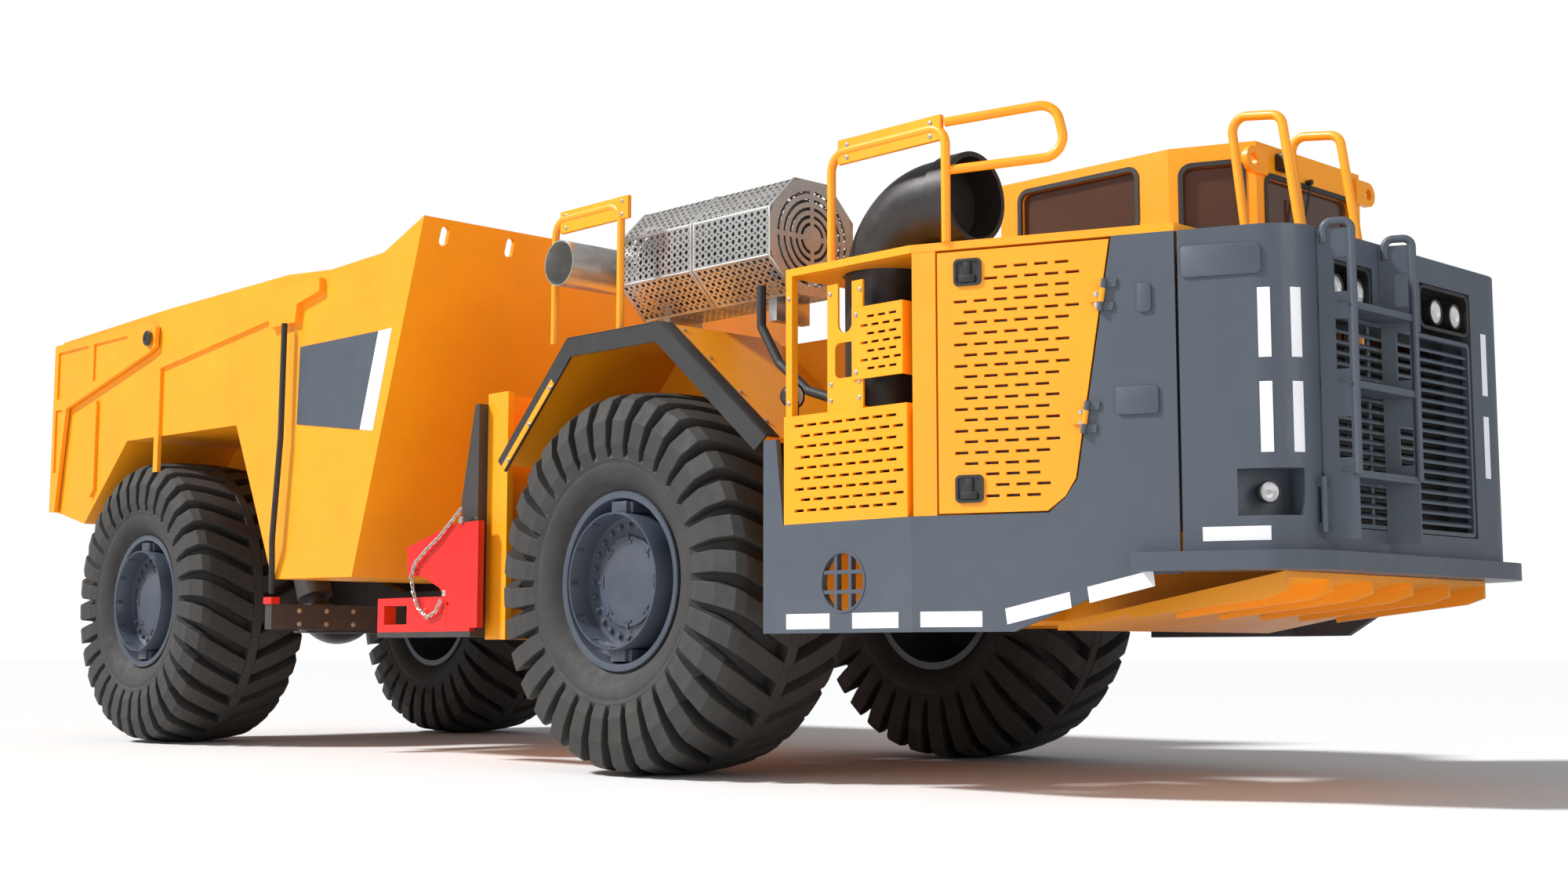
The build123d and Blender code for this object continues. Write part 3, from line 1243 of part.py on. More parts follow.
def steering_lock():
    """Red lock bar: a fork on the lower plate and a curved bracket on the tower."""
    low = lock_foot_z1 + seat_gap
    fork = side_front([(lock_fork_a0, low), (lock_fork_a1, low), (lock_fork_a1, 950), (lock_fork_a0, 950)],
                      lock_y0, lock_fork_y1)
    a0, a1 = lock_fork_window
    fork -= side_front([(a0, low + 45), (a1, low + 45), (a1, 905), (a0, 905)], lock_y0 - 5, lock_fork_y1 + 5)
    bracket = side_front([(-1225, low + 20), (-1225, 1370), (-1480, 1360), (-1935, 1245), (-1935, 1085),
                          (-1760, 1065), (-1600, 1000), (-1490, 890), (-1400, low + 20)], lock_y0, lock_y1)
    pad = side_front([(-1525, low), (-1300, low), (-1300, 900), (-1525, 900)], lock_y0 + 1, lock_fork_y1)
    return fused([fork, bracket, pad])


def side_front(points, y0, y1):
    return plate_xz([(front(a), z) for a, z in points], y0, y1)


def lock_tower():
    """Dark plate and foot behind the bulkhead that carry the steering lock."""
    a1 = a_bulkhead - seat_gap
    tower = side_front([(-1450, lock_foot_z0), (a1, lock_foot_z0), (a1, 2040), (-1330, 2040), (-1450, 1500)],
                       lock_y1 + seat_gap, -1440)
    foot = block(front(lock_fork_a0), front(a1), lock_y0, -1400, lock_foot_z0, lock_foot_z1)
    cutter = side_front([(-1525 - seat_gap, lock_foot_z1), (-1300 + seat_gap, lock_foot_z1),
                         (-1300 + seat_gap, 900 + seat_gap), (-1525 - seat_gap, 900 + seat_gap)],
                        lock_y0 - 5, lock_fork_y1 + seat_gap)
    return tower - cutter + foot


# ---- nodes ------------------------------------------------------------------------------------
nodes = {
    "front_frame": front_frame,
    "side_panel_right": lambda: side_panel(False),
    "side_panel_left": lambda: side_panel(True),
    "hood": hood,
    "front_bumper": bumper,
    "belly_guard": belly_guard,
    "front_grille": grille,
    "lamps": lamps,
    "battery_box": battery_box,
    "battery_bracket": battery_bracket,
    "side_guard": side_guard,
    "drain_hose": drain_hose,
    "work_lamp": work_lamp,
    "top_deck": deck,
    "centre_cover": centre_cover,
    "fender_right": fender,
    "fender_left": lambda: mirrored(fender()),
    "fender_seals": lambda: pair(fender_seal()),
    "intake_pipe": intake_pipe,
    "muffler_guard": muffler_guard,
    "muffler_end_plate": muffler_end_plate,
    "exhaust_pipe": exhaust_pipe,
    "handrail_rear": rear_hoop,
    "handrail_front": front_hoop,
    "hood_rails": hood_rails,
    "ladder_gate": ladder_gate,
    "engine_door_right": engine_door,
    "cab_shell": cab_shell,
    "cab_windows": cab_window_panes,
    "cab_door": cab_door,
    "cab_door_window": cab_door_pane,
    "operator_seat": operator_seat,
    "cab_console": cab_console,
    "engine_block": engine_block,
    "front_axle": lambda: axle(front_axle_x),
    "rear_axle": lambda: axle(rear_axle_x),
    "hitch_pin": hitch_pin,
    "rear_frame": rear_frame,
    "steering_lock": steering_lock,
    "lock_tower": lock_tower,
    "dump_box": dump_box,
    "tailgate": tailgate,
    "tailgate_ropes": tailgate_ropes,
    "rope_anchors": rope_anchors,
    "hoist_barrels": lambda: hoist_tube(0),
    "hoist_stages_lower": lambda: hoist_tube(1),
    "hoist_stages_upper": lambda: hoist_tube(2),
    "hoist_rods": lambda: hoist_tube(3),
}
for end, x in (("front", front_axle_x), ("rear", rear_axle_x)):
    for name, side in (("left", 1), ("right", -1)):
        nodes["tyre_%s_%s" % (end, name)] = lambda x=x, side=side: tyre(x, side * half_track)
        nodes["rim_%s_%s" % (end, name)] = lambda x=x, side=side: rim(x, side)
for name, side in (("left", 1), ("right", -1)):
    nodes["steering_barrel_" + name] = lambda side=side: steering_cylinder(side)[0]
    nodes["steering_rod_" + name] = lambda side=side: steering_cylinder(side)[1]

os.makedirs("parts", exist_ok=True)
for name, build in nodes.items():
    made = build()
    solids = []
    for piece in (made if isinstance(made, list) else [made]):
        solids += piece.solids()
    shape = solids[0] if len(solids) == 1 else Compound(children=solids)
    export_step(shape, "parts/%s.step" % name)
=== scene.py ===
import json
from math import atan2, cos, pi, radians, sin, tan

import bpy
import bmesh
from mathutils import Matrix, Vector


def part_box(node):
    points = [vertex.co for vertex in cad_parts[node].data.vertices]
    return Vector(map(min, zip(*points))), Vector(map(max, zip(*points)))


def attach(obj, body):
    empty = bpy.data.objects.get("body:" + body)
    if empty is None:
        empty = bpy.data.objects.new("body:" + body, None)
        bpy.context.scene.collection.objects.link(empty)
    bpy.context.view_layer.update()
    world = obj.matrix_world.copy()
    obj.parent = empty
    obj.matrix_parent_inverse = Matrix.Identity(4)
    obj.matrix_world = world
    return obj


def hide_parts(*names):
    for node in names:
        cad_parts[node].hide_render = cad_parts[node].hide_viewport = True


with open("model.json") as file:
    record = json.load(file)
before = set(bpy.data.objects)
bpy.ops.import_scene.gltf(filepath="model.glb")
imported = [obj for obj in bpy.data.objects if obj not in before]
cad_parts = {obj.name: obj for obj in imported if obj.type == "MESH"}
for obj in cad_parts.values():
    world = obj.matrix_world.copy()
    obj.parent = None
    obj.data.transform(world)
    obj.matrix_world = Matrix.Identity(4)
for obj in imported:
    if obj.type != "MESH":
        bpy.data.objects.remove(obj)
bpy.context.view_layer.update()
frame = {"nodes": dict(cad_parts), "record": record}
nodes = frame["nodes"]


def middle(node):
    low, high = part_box(node)
    return (low + high) / 2


# stations are measured forward from the axles, heights from the floor
frontAxleX = middle("tyre_front_left").x
rearAxleX = middle("tyre_rear_left").x
bodySide = -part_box("side_panel_right")[0].y
boxSide = 1.595                         # half-width over the dump box's plain sides
noseStation = 3.6                       # the nose's front plane
kinkStation = 2.042                     # where the right wall turns inwards
noseAngle = radians(22.5)               # and how far it turns
standOff = 0.0004                       # trim lies this far off the sheet that carries it


def front(a):
    return frontAxleX + a


def rear(b):
    return rearAxleX + b


def onWall(s, z, out=0.0):
    # a point on the slanted wall of the right side, s measured along it from the kink
    return Vector((front(kinkStation) + s * cos(noseAngle) + out * sin(noseAngle),
                   -bodySide + s * sin(noseAngle) - out * cos(noseAngle), z))


# modelling helpers
edgeSettings = {"bevelAngle": 30, "smoothAngle": 38, "mergeGap": 0.00002}


def clearSelection():
    if bpy.context.object and bpy.context.object.mode != "OBJECT":
        bpy.ops.object.mode_set(mode="OBJECT")
    bpy.ops.object.select_all(action="DESELECT")


def pick(piece):
    clearSelection()
    piece.select_set(True)
    bpy.context.view_layer.objects.active = piece


def useModifier(piece, kind, **settings):
    pick(piece)
    modifier = piece.modifiers.new(kind.lower(), kind)
    for key, value in settings.items():
        setattr(modifier, key, value)
    bpy.ops.object.modifier_apply(modifier=modifier.name)


def soften(piece, width=0.0, segments=2):
    if width:
        useModifier(piece, "BEVEL", width=width, segments=segments, limit_method="ANGLE",
                    angle_limit=radians(edgeSettings["bevelAngle"]))
    pick(piece)
    bpy.ops.object.shade_smooth_by_angle(angle=radians(edgeSettings["smoothAngle"]))
    return piece


def recalculate(piece):
    pick(piece)
    bpy.ops.object.mode_set(mode="EDIT")
    bpy.ops.mesh.select_all(action="SELECT")
    bpy.ops.mesh.remove_doubles(threshold=edgeSettings["mergeGap"])
    bpy.ops.mesh.normals_make_consistent(inside=False)
    bpy.ops.object.mode_set(mode="OBJECT")
    return piece


def growThrough(loops, closed=False, caps=True):
    # a ring of vertices is extruded through every loop of points in turn
    clearSelection()
    fillType = "NGON" if caps and not closed else "NOTHING"
    bpy.ops.mesh.primitive_circle_add(vertices=len(loops[0]), fill_type=fillType, location=(0, 0, 0))
    piece = bpy.context.object
    for vert, point in zip(piece.data.vertices, loops[0]):
        vert.co = point
    bpy.ops.object.mode_set(mode="EDIT")
    bpy.ops.mesh.select_all(action="SELECT")
    for loop in list(loops[1:]) + ([loops[0]] if closed else []):
        bpy.ops.mesh.extrude_region_move()
        mesh = bmesh.from_edit_mesh(piece.data)
        for vert, point in zip([v for v in mesh.verts if v.select], loop):
            vert.co = point
        bmesh.update_edit_mesh(piece.data)
    bpy.ops.object.mode_set(mode="OBJECT")
    return recalculate(piece)


def ringPoints(centre, direction, radius, count, turn=0.0):
    direction = Vector(direction).normalized()
    side = direction.orthogonal().normalized()
    if abs(direction.y) > 0.9:          # rings across the machine start at their top
        side = Vector((0, 0, 1))
    other = direction.cross(side)
    points = []
    for k in range(count):
        angle = 2 * pi * k / count + turn
        points.append(Vector(centre) + side * radius * cos(angle) + other * radius * sin(angle))
    return points


def turnedPiece(centre, direction, profile, count=48, closed=False):
    # profile rows are distance along the axis and radius
    direction = Vector(direction).normalized()
    loops = [ringPoints(Vector(centre) + direction * w, direction, r, count) for w, r in profile]
    return growThrough(loops, closed)


def bar(start, end, radius, count=20, bevel=0.0):
    start, end = Vector(start), Vector(end)
    piece = turnedPiece(start, end - start, ((0, radius), ((end - start).length, radius)), count)
    return soften(piece, bevel)


def slab(low, high, bevel=0.0, segments=2):
    clearSelection()
    low, high = Vector(low), Vector(high)
    bpy.ops.mesh.primitive_cube_add(size=1, location=(low + high) / 2, scale=high - low)
    piece = bpy.context.object
    bpy.ops.object.transform_apply(location=True, rotation=True, scale=True)
    return soften(piece, bevel, segments)


def frontSlab(low, high, bevel=0.0):
    # a slab between two corners whose first value is a station
    return slab((front(low[0]), *low[1:]), (front(high[0]), *high[1:]), bevel)


def plate(outline, step, bevel=0.0, segments=2):
    # an outline of points, extruded by one step
    step = Vector(step)
    piece = growThrough([[Vector(p) for p in outline], [Vector(p) + step for p in outline]])
    return soften(piece, bevel, segments)


def roundedOutline(x0, x1, z0, z1, radius, steps=5):
    points = []
    for cx, cz, start in ((x1 - radius, z1 - radius, 0), (x0 + radius, z1 - radius, 90),
                          (x0 + radius, z0 + radius, 180), (x1 - radius, z0 + radius, 270)):
        for k in range(steps + 1):
            angle = radians(start + 90 * k / steps)
            points.append((cx + radius * cos(angle), cz + radius * sin(angle)))
    return points


def frameRing(spot, outer, inner, back, face, innerBack, bevel=0.0015):
    # a raised frame between two outlines, where spot puts an outline's point at a distance out
    rows = ((outer, back), (outer, face), (inner, face), (inner, innerBack))
    loops = [[spot(u, v, out) for u, v in line] for line, out in rows]
    return soften(growThrough(loops, True), bevel, 1)


hexShape = {
    # shares of the bolt's size and height, and how deep its washer starts
    "washer": 1.5, "head": 1.05, "chamfer": 0.8, "washerTop": 0.25, "headTop": 0.9, "sunk": 0.002,
}


def hexBolt(spot, direction, size=0.011, height=0.009):
    s = hexShape
    profile = ((-s["sunk"], size * s["washer"]), (height * s["washerTop"], size * s["washer"]),
               (height * s["washerTop"], size * s["head"]), (height * s["headTop"], size),
               (height, size * s["chamfer"]))
    return soften(turnedPiece(spot, direction, profile, 6))


def copyOf(piece):
    clearSelection()
    twin = piece.copy()
    twin.data = piece.data.copy()
    bpy.context.scene.collection.objects.link(twin)
    return twin


def joined(pieces):
    clearSelection()
    for piece in pieces:
        piece.select_set(True)
    bpy.context.view_layer.objects.active = pieces[0]
    if len(pieces) > 1:
        bpy.ops.object.join()
    return bpy.context.object


def mirroredY(piece):
    twin = copyOf(piece)
    twin.data.transform(Matrix.Scale(-1, 4, (0, 1, 0)))
    twin.data.flip_normals()
    return twin


def place(piece, name, body, material, replaces=()):
    piece.name = name.replace(" ", "-")
    piece.data.name = piece.name
    piece.data.materials.clear()
    piece.data.materials.append(material)
    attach(piece, body)
    for node in replaces:
        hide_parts(node)
    return piece


# materials
class Flow:
    # a socket whose arithmetic adds Math nodes
    def __init__(self, maker, socket):
        self.maker = maker
        self.socket = socket

    def combine(self, operation, first, second):
        return self.maker.add("ShaderNodeMath", {"operation": operation}, {0: first, 1: second})

    def __sub__(self, other):
        return self.combine("SUBTRACT", self, other)

    def __rsub__(self, other):
        return self.combine("SUBTRACT", other, self)

    def __mul__(self, other):
        return self.combine("MULTIPLY", self, other)

    __rmul__ = __mul__


def opaque(colour, share=1.0):
    return tuple(c * share for c in colour) + (1.0,)


class Finish:
    def __init__(self, name):
        self.material = bpy.data.materials.new(name)
        self.material.use_nodes = True
        self.tree = self.material.node_tree
        self.shader = self.tree.nodes["Principled BSDF"]
        self.objectPlace = self.add("ShaderNodeTexCoord", {}, {}, "Object")

    def add(self, kind, settings, sockets, output=0):
        node = self.tree.nodes.new(kind)
        for key, value in settings.items():
            setattr(node, key, value)
        for key, value in sockets.items():
            self.feed(node.inputs[key], value)
        return Flow(self, node.outputs[output])

    def feed(self, socket, value):
        if isinstance(value, Flow):
            self.tree.links.new(value.socket, socket)
        else:
            socket.default_value = value

    def give(self, **sockets):
        for key, value in sockets.items():
            self.feed(self.shader.inputs[key], value)

    def noise(self, scale, detail=3.0, roughness=0.55, where=None):
        return self.add("ShaderNodeTexNoise", {}, {"Vector": where or self.objectPlace, "Scale": scale,
                                                   "Detail": detail, "Roughness": roughness}, "Fac")

    def spread(self, value, low, high, newLow=0.0, newHigh=1.0):
        limits = {"Value": value, "From Min": low, "From Max": high, "To Min": newLow, "To Max": newHigh}
        return self.add("ShaderNodeMapRange", {"clamp": True}, limits)

    def blendColours(self, factor, first, second):
        # sockets 0, 6 and 7 are the factor and the two colours, output 2 the blended one
        return self.add("ShaderNodeMix", {"data_type": "RGBA"}, {0: factor, 6: first, 7: second}, 2)

    def bump(self, height, strength, distance):
        return self.add("ShaderNodeBump", {}, {"Height": height, "Strength": strength, "Distance": distance},
                        "Normal")

    def heightAbove(self):
        return self.add("ShaderNodeSeparateXYZ", {}, {"Vector": self.objectPlace}, "Z")

    def clouded(self, colour, s):
        # the colour wanders between a darker and a lighter share of itself
        dark, light = s["cloudShades"]
        cloud = self.spread(self.noise(*s["cloud"]), *s["cloudRange"])
        return self.blendColours(cloud, opaque(colour, dark), opaque(colour, light))

    def dusted(self, shade, share, s):
        # dust lies in patches, and more of it near the floor
        low = 1 - self.spread(self.heightAbove(), *s["dustHeights"])
        patches = self.spread(self.noise(*s["dust"]), *s["dustRange"])
        return self.blendColours(low * patches * share, shade, opaque(s["dustColour"]))


# in every finish below, a noise is its scale, detail and roughness, and a range is where it starts and ends
paintSettings = {
    "cloud": (1.7, 4.0), "cloudRange": (0.3, 0.7), "cloudShades": (0.93, 1.05),
    "dust": (5.5, 6.0, 0.7), "dustRange": (0.42, 0.72), "dustHeights": (0.3, 1.5),
    "dustColour": (0.32, 0.25, 0.17),
    "sheen": (9.0, 5.0), "sheenRange": (0.3, 0.7), "smoother": 0.05, "rougher": 0.07, "coatRoughness": 0.12,
    "grain": (260.0, 2.0), "grainStrength": 0.05, "grainDepth": 0.0006,
}


def paintFinish(name, colour, roughness, coat=0.25, dusty=0.10):
    s = paintSettings
    finish = Finish(name)
    sheen = finish.spread(finish.noise(*s["sheen"]), *s["sheenRange"], roughness - s["smoother"],
                          roughness + s["rougher"])
    grain = finish.bump(finish.noise(*s["grain"]), s["grainStrength"], s["grainDepth"])
    finish.give(**{"Base Color": finish.dusted(finish.clouded(colour, s), dusty, s), "Roughness": sheen,
                   "Coat Weight": coat, "Coat Roughness": s["coatRoughness"], "Normal": grain})
    return finish.material


rubberSettings = {
    "cloud": (3.2, 5.0, 0.6), "cloudRange": (0.35, 0.7), "cloudShades": (0.82, 1.2),
    "dust": (8.0, 6.0, 0.7), "dustRange": (0.45, 0.75), "dustHeights": (0.0, 0.7),
    "dustColour": (0.12, 0.10, 0.075), "dusty": 0.25,
    "sheen": (14.0,), "sheenRange": (0.3, 0.7), "sheenSpread": 0.08,
    "grainDetail": 4.0, "grainRoughness": 0.7, "grainStrength": 0.25,
}


def rubberFinish(name, colour, roughness=0.75, grainScale=190.0, grainDepth=0.0012):
    s = rubberSettings
    finish = Finish(name)
    sheen = finish.spread(finish.noise(*s["sheen"]), *s["sheenRange"], roughness - s["sheenSpread"],
                          roughness + s["sheenSpread"])
    grain = finish.noise(grainScale, s["grainDetail"], s["grainRoughness"])
    finish.give(**{"Base Color": finish.dusted(finish.clouded(colour, s), s["dusty"], s), "Roughness": sheen,
                   "Normal": finish.bump(grain, s["grainStrength"], grainDepth)})
    return finish.material


metalSettings = {
    "cloud": (4.0,), "cloudRange": (0.35, 0.65), "cloudShades": (0.85, 1.08),
    "streaks": (3.0, 3.0, 0.6), "streakRange": (0.3, 0.7), "smoother": 0.06, "rougher": 0.1,
    "streakStrength": 0.12,
}


def metalFinish(name, colour, roughness, metallic=1.0, stretch=(2.0, 2.0, 160.0), depth=0.0004):
    s = metalSettings
    finish = Finish(name)
    stretched = finish.add("ShaderNodeMapping", {}, {"Vector": finish.objectPlace, "Scale": stretch})
    streaks = finish.noise(*s["streaks"], stretched)
    sheen = finish.spread(streaks, *s["streakRange"], roughness - s["smoother"], roughness + s["rougher"])
    finish.give(**{"Base Color": finish.clouded(colour, s), "Metallic": metallic, "Roughness": sheen,
                   "Normal": finish.bump(streaks, s["streakStrength"], depth)})
    return finish.material


glassSettings = {
    "smear": (2.5, 5.0, 0.65), "smearRange": (0.4, 0.75), "smearShade": 1.25, "smearAlpha": 0.06,
    "roughness": 0.04, "smearRoughness": 0.08, "coat": 0.6, "coatRoughness": 0.03,
}


def glassFinish(name, colour, alpha):
    s = glassSettings
    finish = Finish(name)
    smear = finish.spread(finish.noise(*s["smear"]), *s["smearRange"])
    dullest = s["roughness"] + s["smearRoughness"]
    finish.give(**{"Base Color": finish.blendColours(smear, opaque(colour), opaque(colour, s["smearShade"])),
                   "Alpha": finish.spread(smear, 0.0, 1.0, alpha, alpha + s["smearAlpha"]),
                   "Roughness": finish.spread(smear, 0.0, 1.0, s["roughness"], dullest),
                   "Coat Weight": s["coat"], "Coat Roughness": s["coatRoughness"]})
    return finish.material


clothSettings = {
    "cloud": (30.0,), "cloudRange": (0.0, 1.0), "cloudShades": (0.8, 1.3), "sheen": (12.0,),
    "sheenRange": (0.3, 0.7), "roughness": (0.85, 0.95), "weave": 420.0, "weaveStrength": 0.4,
    "weaveDepth": 0.001,
}


def clothFinish(name, colour):
    s = clothSettings
    finish = Finish(name)
    weave = finish.add("ShaderNodeTexVoronoi", {}, {"Vector": finish.objectPlace, "Scale": s["weave"]},
                       "Distance")
    finish.give(**{"Base Color": finish.clouded(colour, s),
                   "Roughness": finish.spread(finish.noise(*s["sheen"]), *s["sheenRange"], *s["roughness"]),
                   "Normal": finish.bump(weave, s["weaveStrength"], s["weaveDepth"])})
    return finish.material


yellowPaint = paintFinish("yellow paint", (1.0, 0.365, 0.006), 0.40, 0.12)
greyPaint = paintFinish("slate grey paint", (0.070, 0.086, 0.110), 0.45, 0.12)
rimPaint = paintFinish("rim grey paint", (0.060, 0.074, 0.102), 0.38, 0.15)
darkPaint = paintFinish("dark brown paint", (0.040, 0.033, 0.032), 0.5)
redPaint = paintFinish("red paint", (0.72, 0.012, 0.008), 0.33, dusty=0.03)
# black paint, also used as painted shade on the grille node and on the sheets behind the slots
blackPaintAndShade = paintFinish("black paint and painted shade", (0.016, 0.016, 0.016), 0.45)
tyreRubber = rubberFinish("tyre rubber", (0.036, 0.0345, 0.032))
sealRubber = rubberFinish("seal rubber", (0.022, 0.022, 0.022), 0.6, 320.0, 0.0006)
blackPlastic = rubberFinish("black plastic", (0.020, 0.018, 0.017), 0.42, 520.0, 0.0002)
stainlessSheet = metalFinish("stainless sheet", (0.60, 0.59, 0.57), 0.28, 0.75)
boltZinc = metalFinish("zinc bolts", (0.62, 0.60, 0.55), 0.32, 0.9, (30, 30, 30), 0.0002)
chromeRod = metalFinish("chrome rod", (0.80, 0.80, 0.80), 0.12, 1.0, (2, 2, 2), 0.0001)
ironCasting = metalFinish("iron casting", (0.10, 0.10, 0.105), 0.55, 0.4, (40, 40, 40), 0.002)
cabGlass = glassFinish("tinted cab glass", (0.085, 0.038, 0.022), 0.86)
lampGlass = glassFinish("lamp glass", (0.80, 0.80, 0.82), 0.35)
seatCloth = clothFinish("seat cloth", (0.035, 0.036, 0.04))
reflective = paintFinish("white reflective sheet", (0.86, 0.87, 0.90), 0.30, 0.3, 0.02)

nodeFinishes = {
    "yellow_paint": yellowPaint, "grey_paint": greyPaint, "dark_paint": darkPaint, "red_paint": redPaint,
    "tyre_rubber": tyreRubber, "black_rubber": sealRubber, "black_plastic": blackPlastic,
    "stainless": stainlessSheet, "rim_paint": rimPaint, "cab_glass": cabGlass, "lamp_glass": lampGlass,
    "chrome_rod": chromeRod, "seat_fabric": seatCloth, "iron": ironCasting, "rope_black": sealRubber,
}
for part in frame["record"]["subparts"]:
    node = nodes[part["node"]]
    inShade = part["node"] == "front_grille"            # painted shade: it sits deep behind the slats, so it gets black paint
    node.data.materials.clear()
    node.data.materials.append(blackPaintAndShade if inShade else nodeFinishes[part["material_slot"]])
print("frame nodes painted")


# wheels, modelled once at the origin: across is y, and angles turn from the top
tyreSettings = {
    "sides": 96, "lugs": 32, "lugLean": 0.05, "lugEdge": 0.003, "lugEdgeAngle": 40, "lugSmoothAngle": 9,
    # half-width and radius down the outside of a lug, its lead in pitches and the groove's share of a pitch
    "lugLine": ((0.412, 0.632, 0.0, 0.28), (0.430, 0.70, 0.0, 0.29), (0.430, 0.825, 0.03, 0.34),
                (0.390, 0.938, 0.14, 0.41), (0.345, 0.968, 0.24, 0.42), (0.250, 0.984, 0.47, 0.42),
                (0.150, 0.993, 0.73, 0.42), (0.036, 0.997, 1.0, 0.42)),
    # half-width and radius of the lug's root, a little inside the carcass
    "lugRoot": ((0.392, 0.636), (0.380, 0.70), (0.344, 0.815), (0.306, 0.866), (0.280, 0.884), (0.212, 0.899),
                (0.135, 0.904), (0.030, 0.906)),
    # half-width and radius of the carcass, from the bead out to the crown
    "carcass": ((0.318, 0.4485), (0.331, 0.4525), (0.3335, 0.468), (0.346, 0.484), (0.372, 0.512),
                (0.393, 0.548), (0.404, 0.582), (0.4075, 0.600), (0.4060, 0.606), (0.4060, 0.612),
                (0.4090, 0.617), (0.4130, 0.632), (0.404, 0.648), (0.386, 0.70), (0.371, 0.765),
                (0.346, 0.832), (0.324, 0.864), (0.298, 0.888), (0.243, 0.906), (0.150, 0.913)),
    "ribHalfWidth": 0.032, "ribRoot": 0.90, "crown": 0.997, "ribEdge": 0.003,
}


def wheelPoint(across, radius, angle):
    return Vector((radius * sin(angle), across, radius * cos(angle)))


def lugPiece():
    s = tyreSettings
    pitch = 2 * pi / s["lugs"]
    lean = s["lugLean"] * pitch
    loops = []
    for (w, r, lead, share), (rootW, rootR) in zip(s["lugLine"], s["lugRoot"]):
        start = pitch * (lead + share / 2)
        end = pitch * (lead + 1 - share / 2)
        third = (end - start) / 3
        halfway = ((w + rootW) / 2, (r + rootR) / 2)
        rows = ((w, r, start), (w, r, start + third), (w, r, end - third), (w, r, end),
                (*halfway, end + lean / 2), (rootW, rootR, end + lean), (rootW, rootR, start - lean),
                (*halfway, start - lean / 2))
        loops.append([wheelPoint(*row) for row in rows])
    lug = growThrough(loops)
    useModifier(lug, "BEVEL", width=s["lugEdge"], segments=1, limit_method="ANGLE",
                angle_limit=radians(s["lugEdgeAngle"]))
    bpy.ops.object.shade_smooth_by_angle(angle=radians(s["lugSmoothAngle"]))
    return lug


def aroundWheel(piece, count):
    copies = [piece]
    for k in range(1, count):
        twin = copyOf(piece)
        twin.data.transform(Matrix.Rotation(2 * pi * k / count, 4, "Y"))
        copies.append(twin)
    return copies


def turnedWheel(profile, sides):
    return soften(turnedPiece((0, 0, 0), (0, 1, 0), profile, sides, True))


def tyrePiece():
    s = tyreSettings
    outside = list(s["carcass"])
    carcass = turnedWheel(outside + [(-w, r) for w, r in reversed(outside)], s["sides"])
    half, root, crown, edge = s["ribHalfWidth"], s["ribRoot"], s["crown"], s["ribEdge"]
    rib = turnedWheel(((half, root), (half, crown - edge), (half - edge, crown), (edge - half, crown),
                       (-half, crown - edge), (-half, root)), s["sides"])
    lugs = joined(aroundWheel(lugPiece(), s["lugs"]))
    return joined([carcass, rib, lugs, mirroredY(lugs)])


rimSettings = {
    "sides": 96,
    # distance outside the wheel's middle and radius, from the outer flange inwards and round the back
    "profile": ((0.3352, 0.4475), (0.3358, 0.4610), (0.3390, 0.4660), (0.3500, 0.4660), (0.3548, 0.4620),
                (0.3550, 0.4460), (0.3500, 0.4300), (0.3400, 0.4245), (0.2550, 0.4180), (0.2140, 0.4120),
                (0.2060, 0.4040), (0.2050, 0.3580), (0.2060, 0.3545), (0.3955, 0.3540), (0.4000, 0.3515),
                (0.4000, 0.3450), (0.3955, 0.3420), (0.2900, 0.3400), (0.2760, 0.3350), (0.2730, 0.3250),
                (0.2730, 0.2420), (0.2745, 0.2375), (0.2860, 0.2360), (0.2880, 0.2335), (0.2880, 0.1500),
                (0.2860, 0.1450), (0.2860, 0.0300), (0.2860, 0.0), (0.1600, 0.0), (0.1600, 0.4257),
                (-0.3549, 0.4257), (-0.3549, 0.4660), (-0.3352, 0.4660), (-0.3352, 0.4475)),
    # drivers, clamps and keys round the rim, with how many of each
    # a block is its half-length, back and face across the wheel, inner and outer radius, and edge
    "blocks": ((2, ((0.060, 0.204, 0.3525, 0.350, 0.412, 0.004),
                    (0.085, 0.204, 0.3300, 0.350, 0.412, 0.004))),
               (8, ((0.030, 0.284, 0.294, 0.196, 0.212, 0.002), (0.009, 0.284, 0.294, 0.205, 0.247, 0.002))),
               (12, ((0.010, 0.347, 0.401, 0.338, 0.3425, 0.001),))),
    "bolts": 24, "boltRing": 0.291, "boltFace": 0.273, "boltSize": 0.0135, "boltHeight": 0.017,
}


def rimPiece():
    s = rimSettings
    pieces = [turnedWheel(s["profile"], s["sides"])]
    for count, blocks in s["blocks"]:
        group = [slab((-half, back, inner), (half, face, outer), edge)
                 for half, back, face, inner, outer, edge in blocks]
        pieces += aroundWheel(joined(group), count)
    return joined(pieces)


def rimBolts():
    s = rimSettings
    bolt = hexBolt((0, s["boltFace"], s["boltRing"]), (0, 1, 0), s["boltSize"], s["boltHeight"])
    return joined(aroundWheel(bolt, s["bolts"]))


def makeWheels():
    masters = (("tyre", tyrePiece(), tyreRubber), ("rim", rimPiece(), rimPaint),
               ("rim bolts", rimBolts(), rimPaint))
    for end in ("front", "rear"):
        for side in ("left", "right"):
            wheel = "%s_%s" % (end, side)
            for kind, master, material in masters:
                piece = copyOf(master) if side == "left" else mirroredY(master)
                piece.data.transform(Matrix.Translation(middle("tyre_" + wheel)))
                node = "%s_%s" % (kind, wheel)
                place(piece, "%s %s %s" % (kind, end, side), "wheel_" + wheel, material,
                      replaces=(node,) if node in nodes else ())
    clearSelection()
    for kind, master, material in masters:
        master.select_set(True)
    bpy.ops.object.delete()


makeWheels()
print("wheels ready")


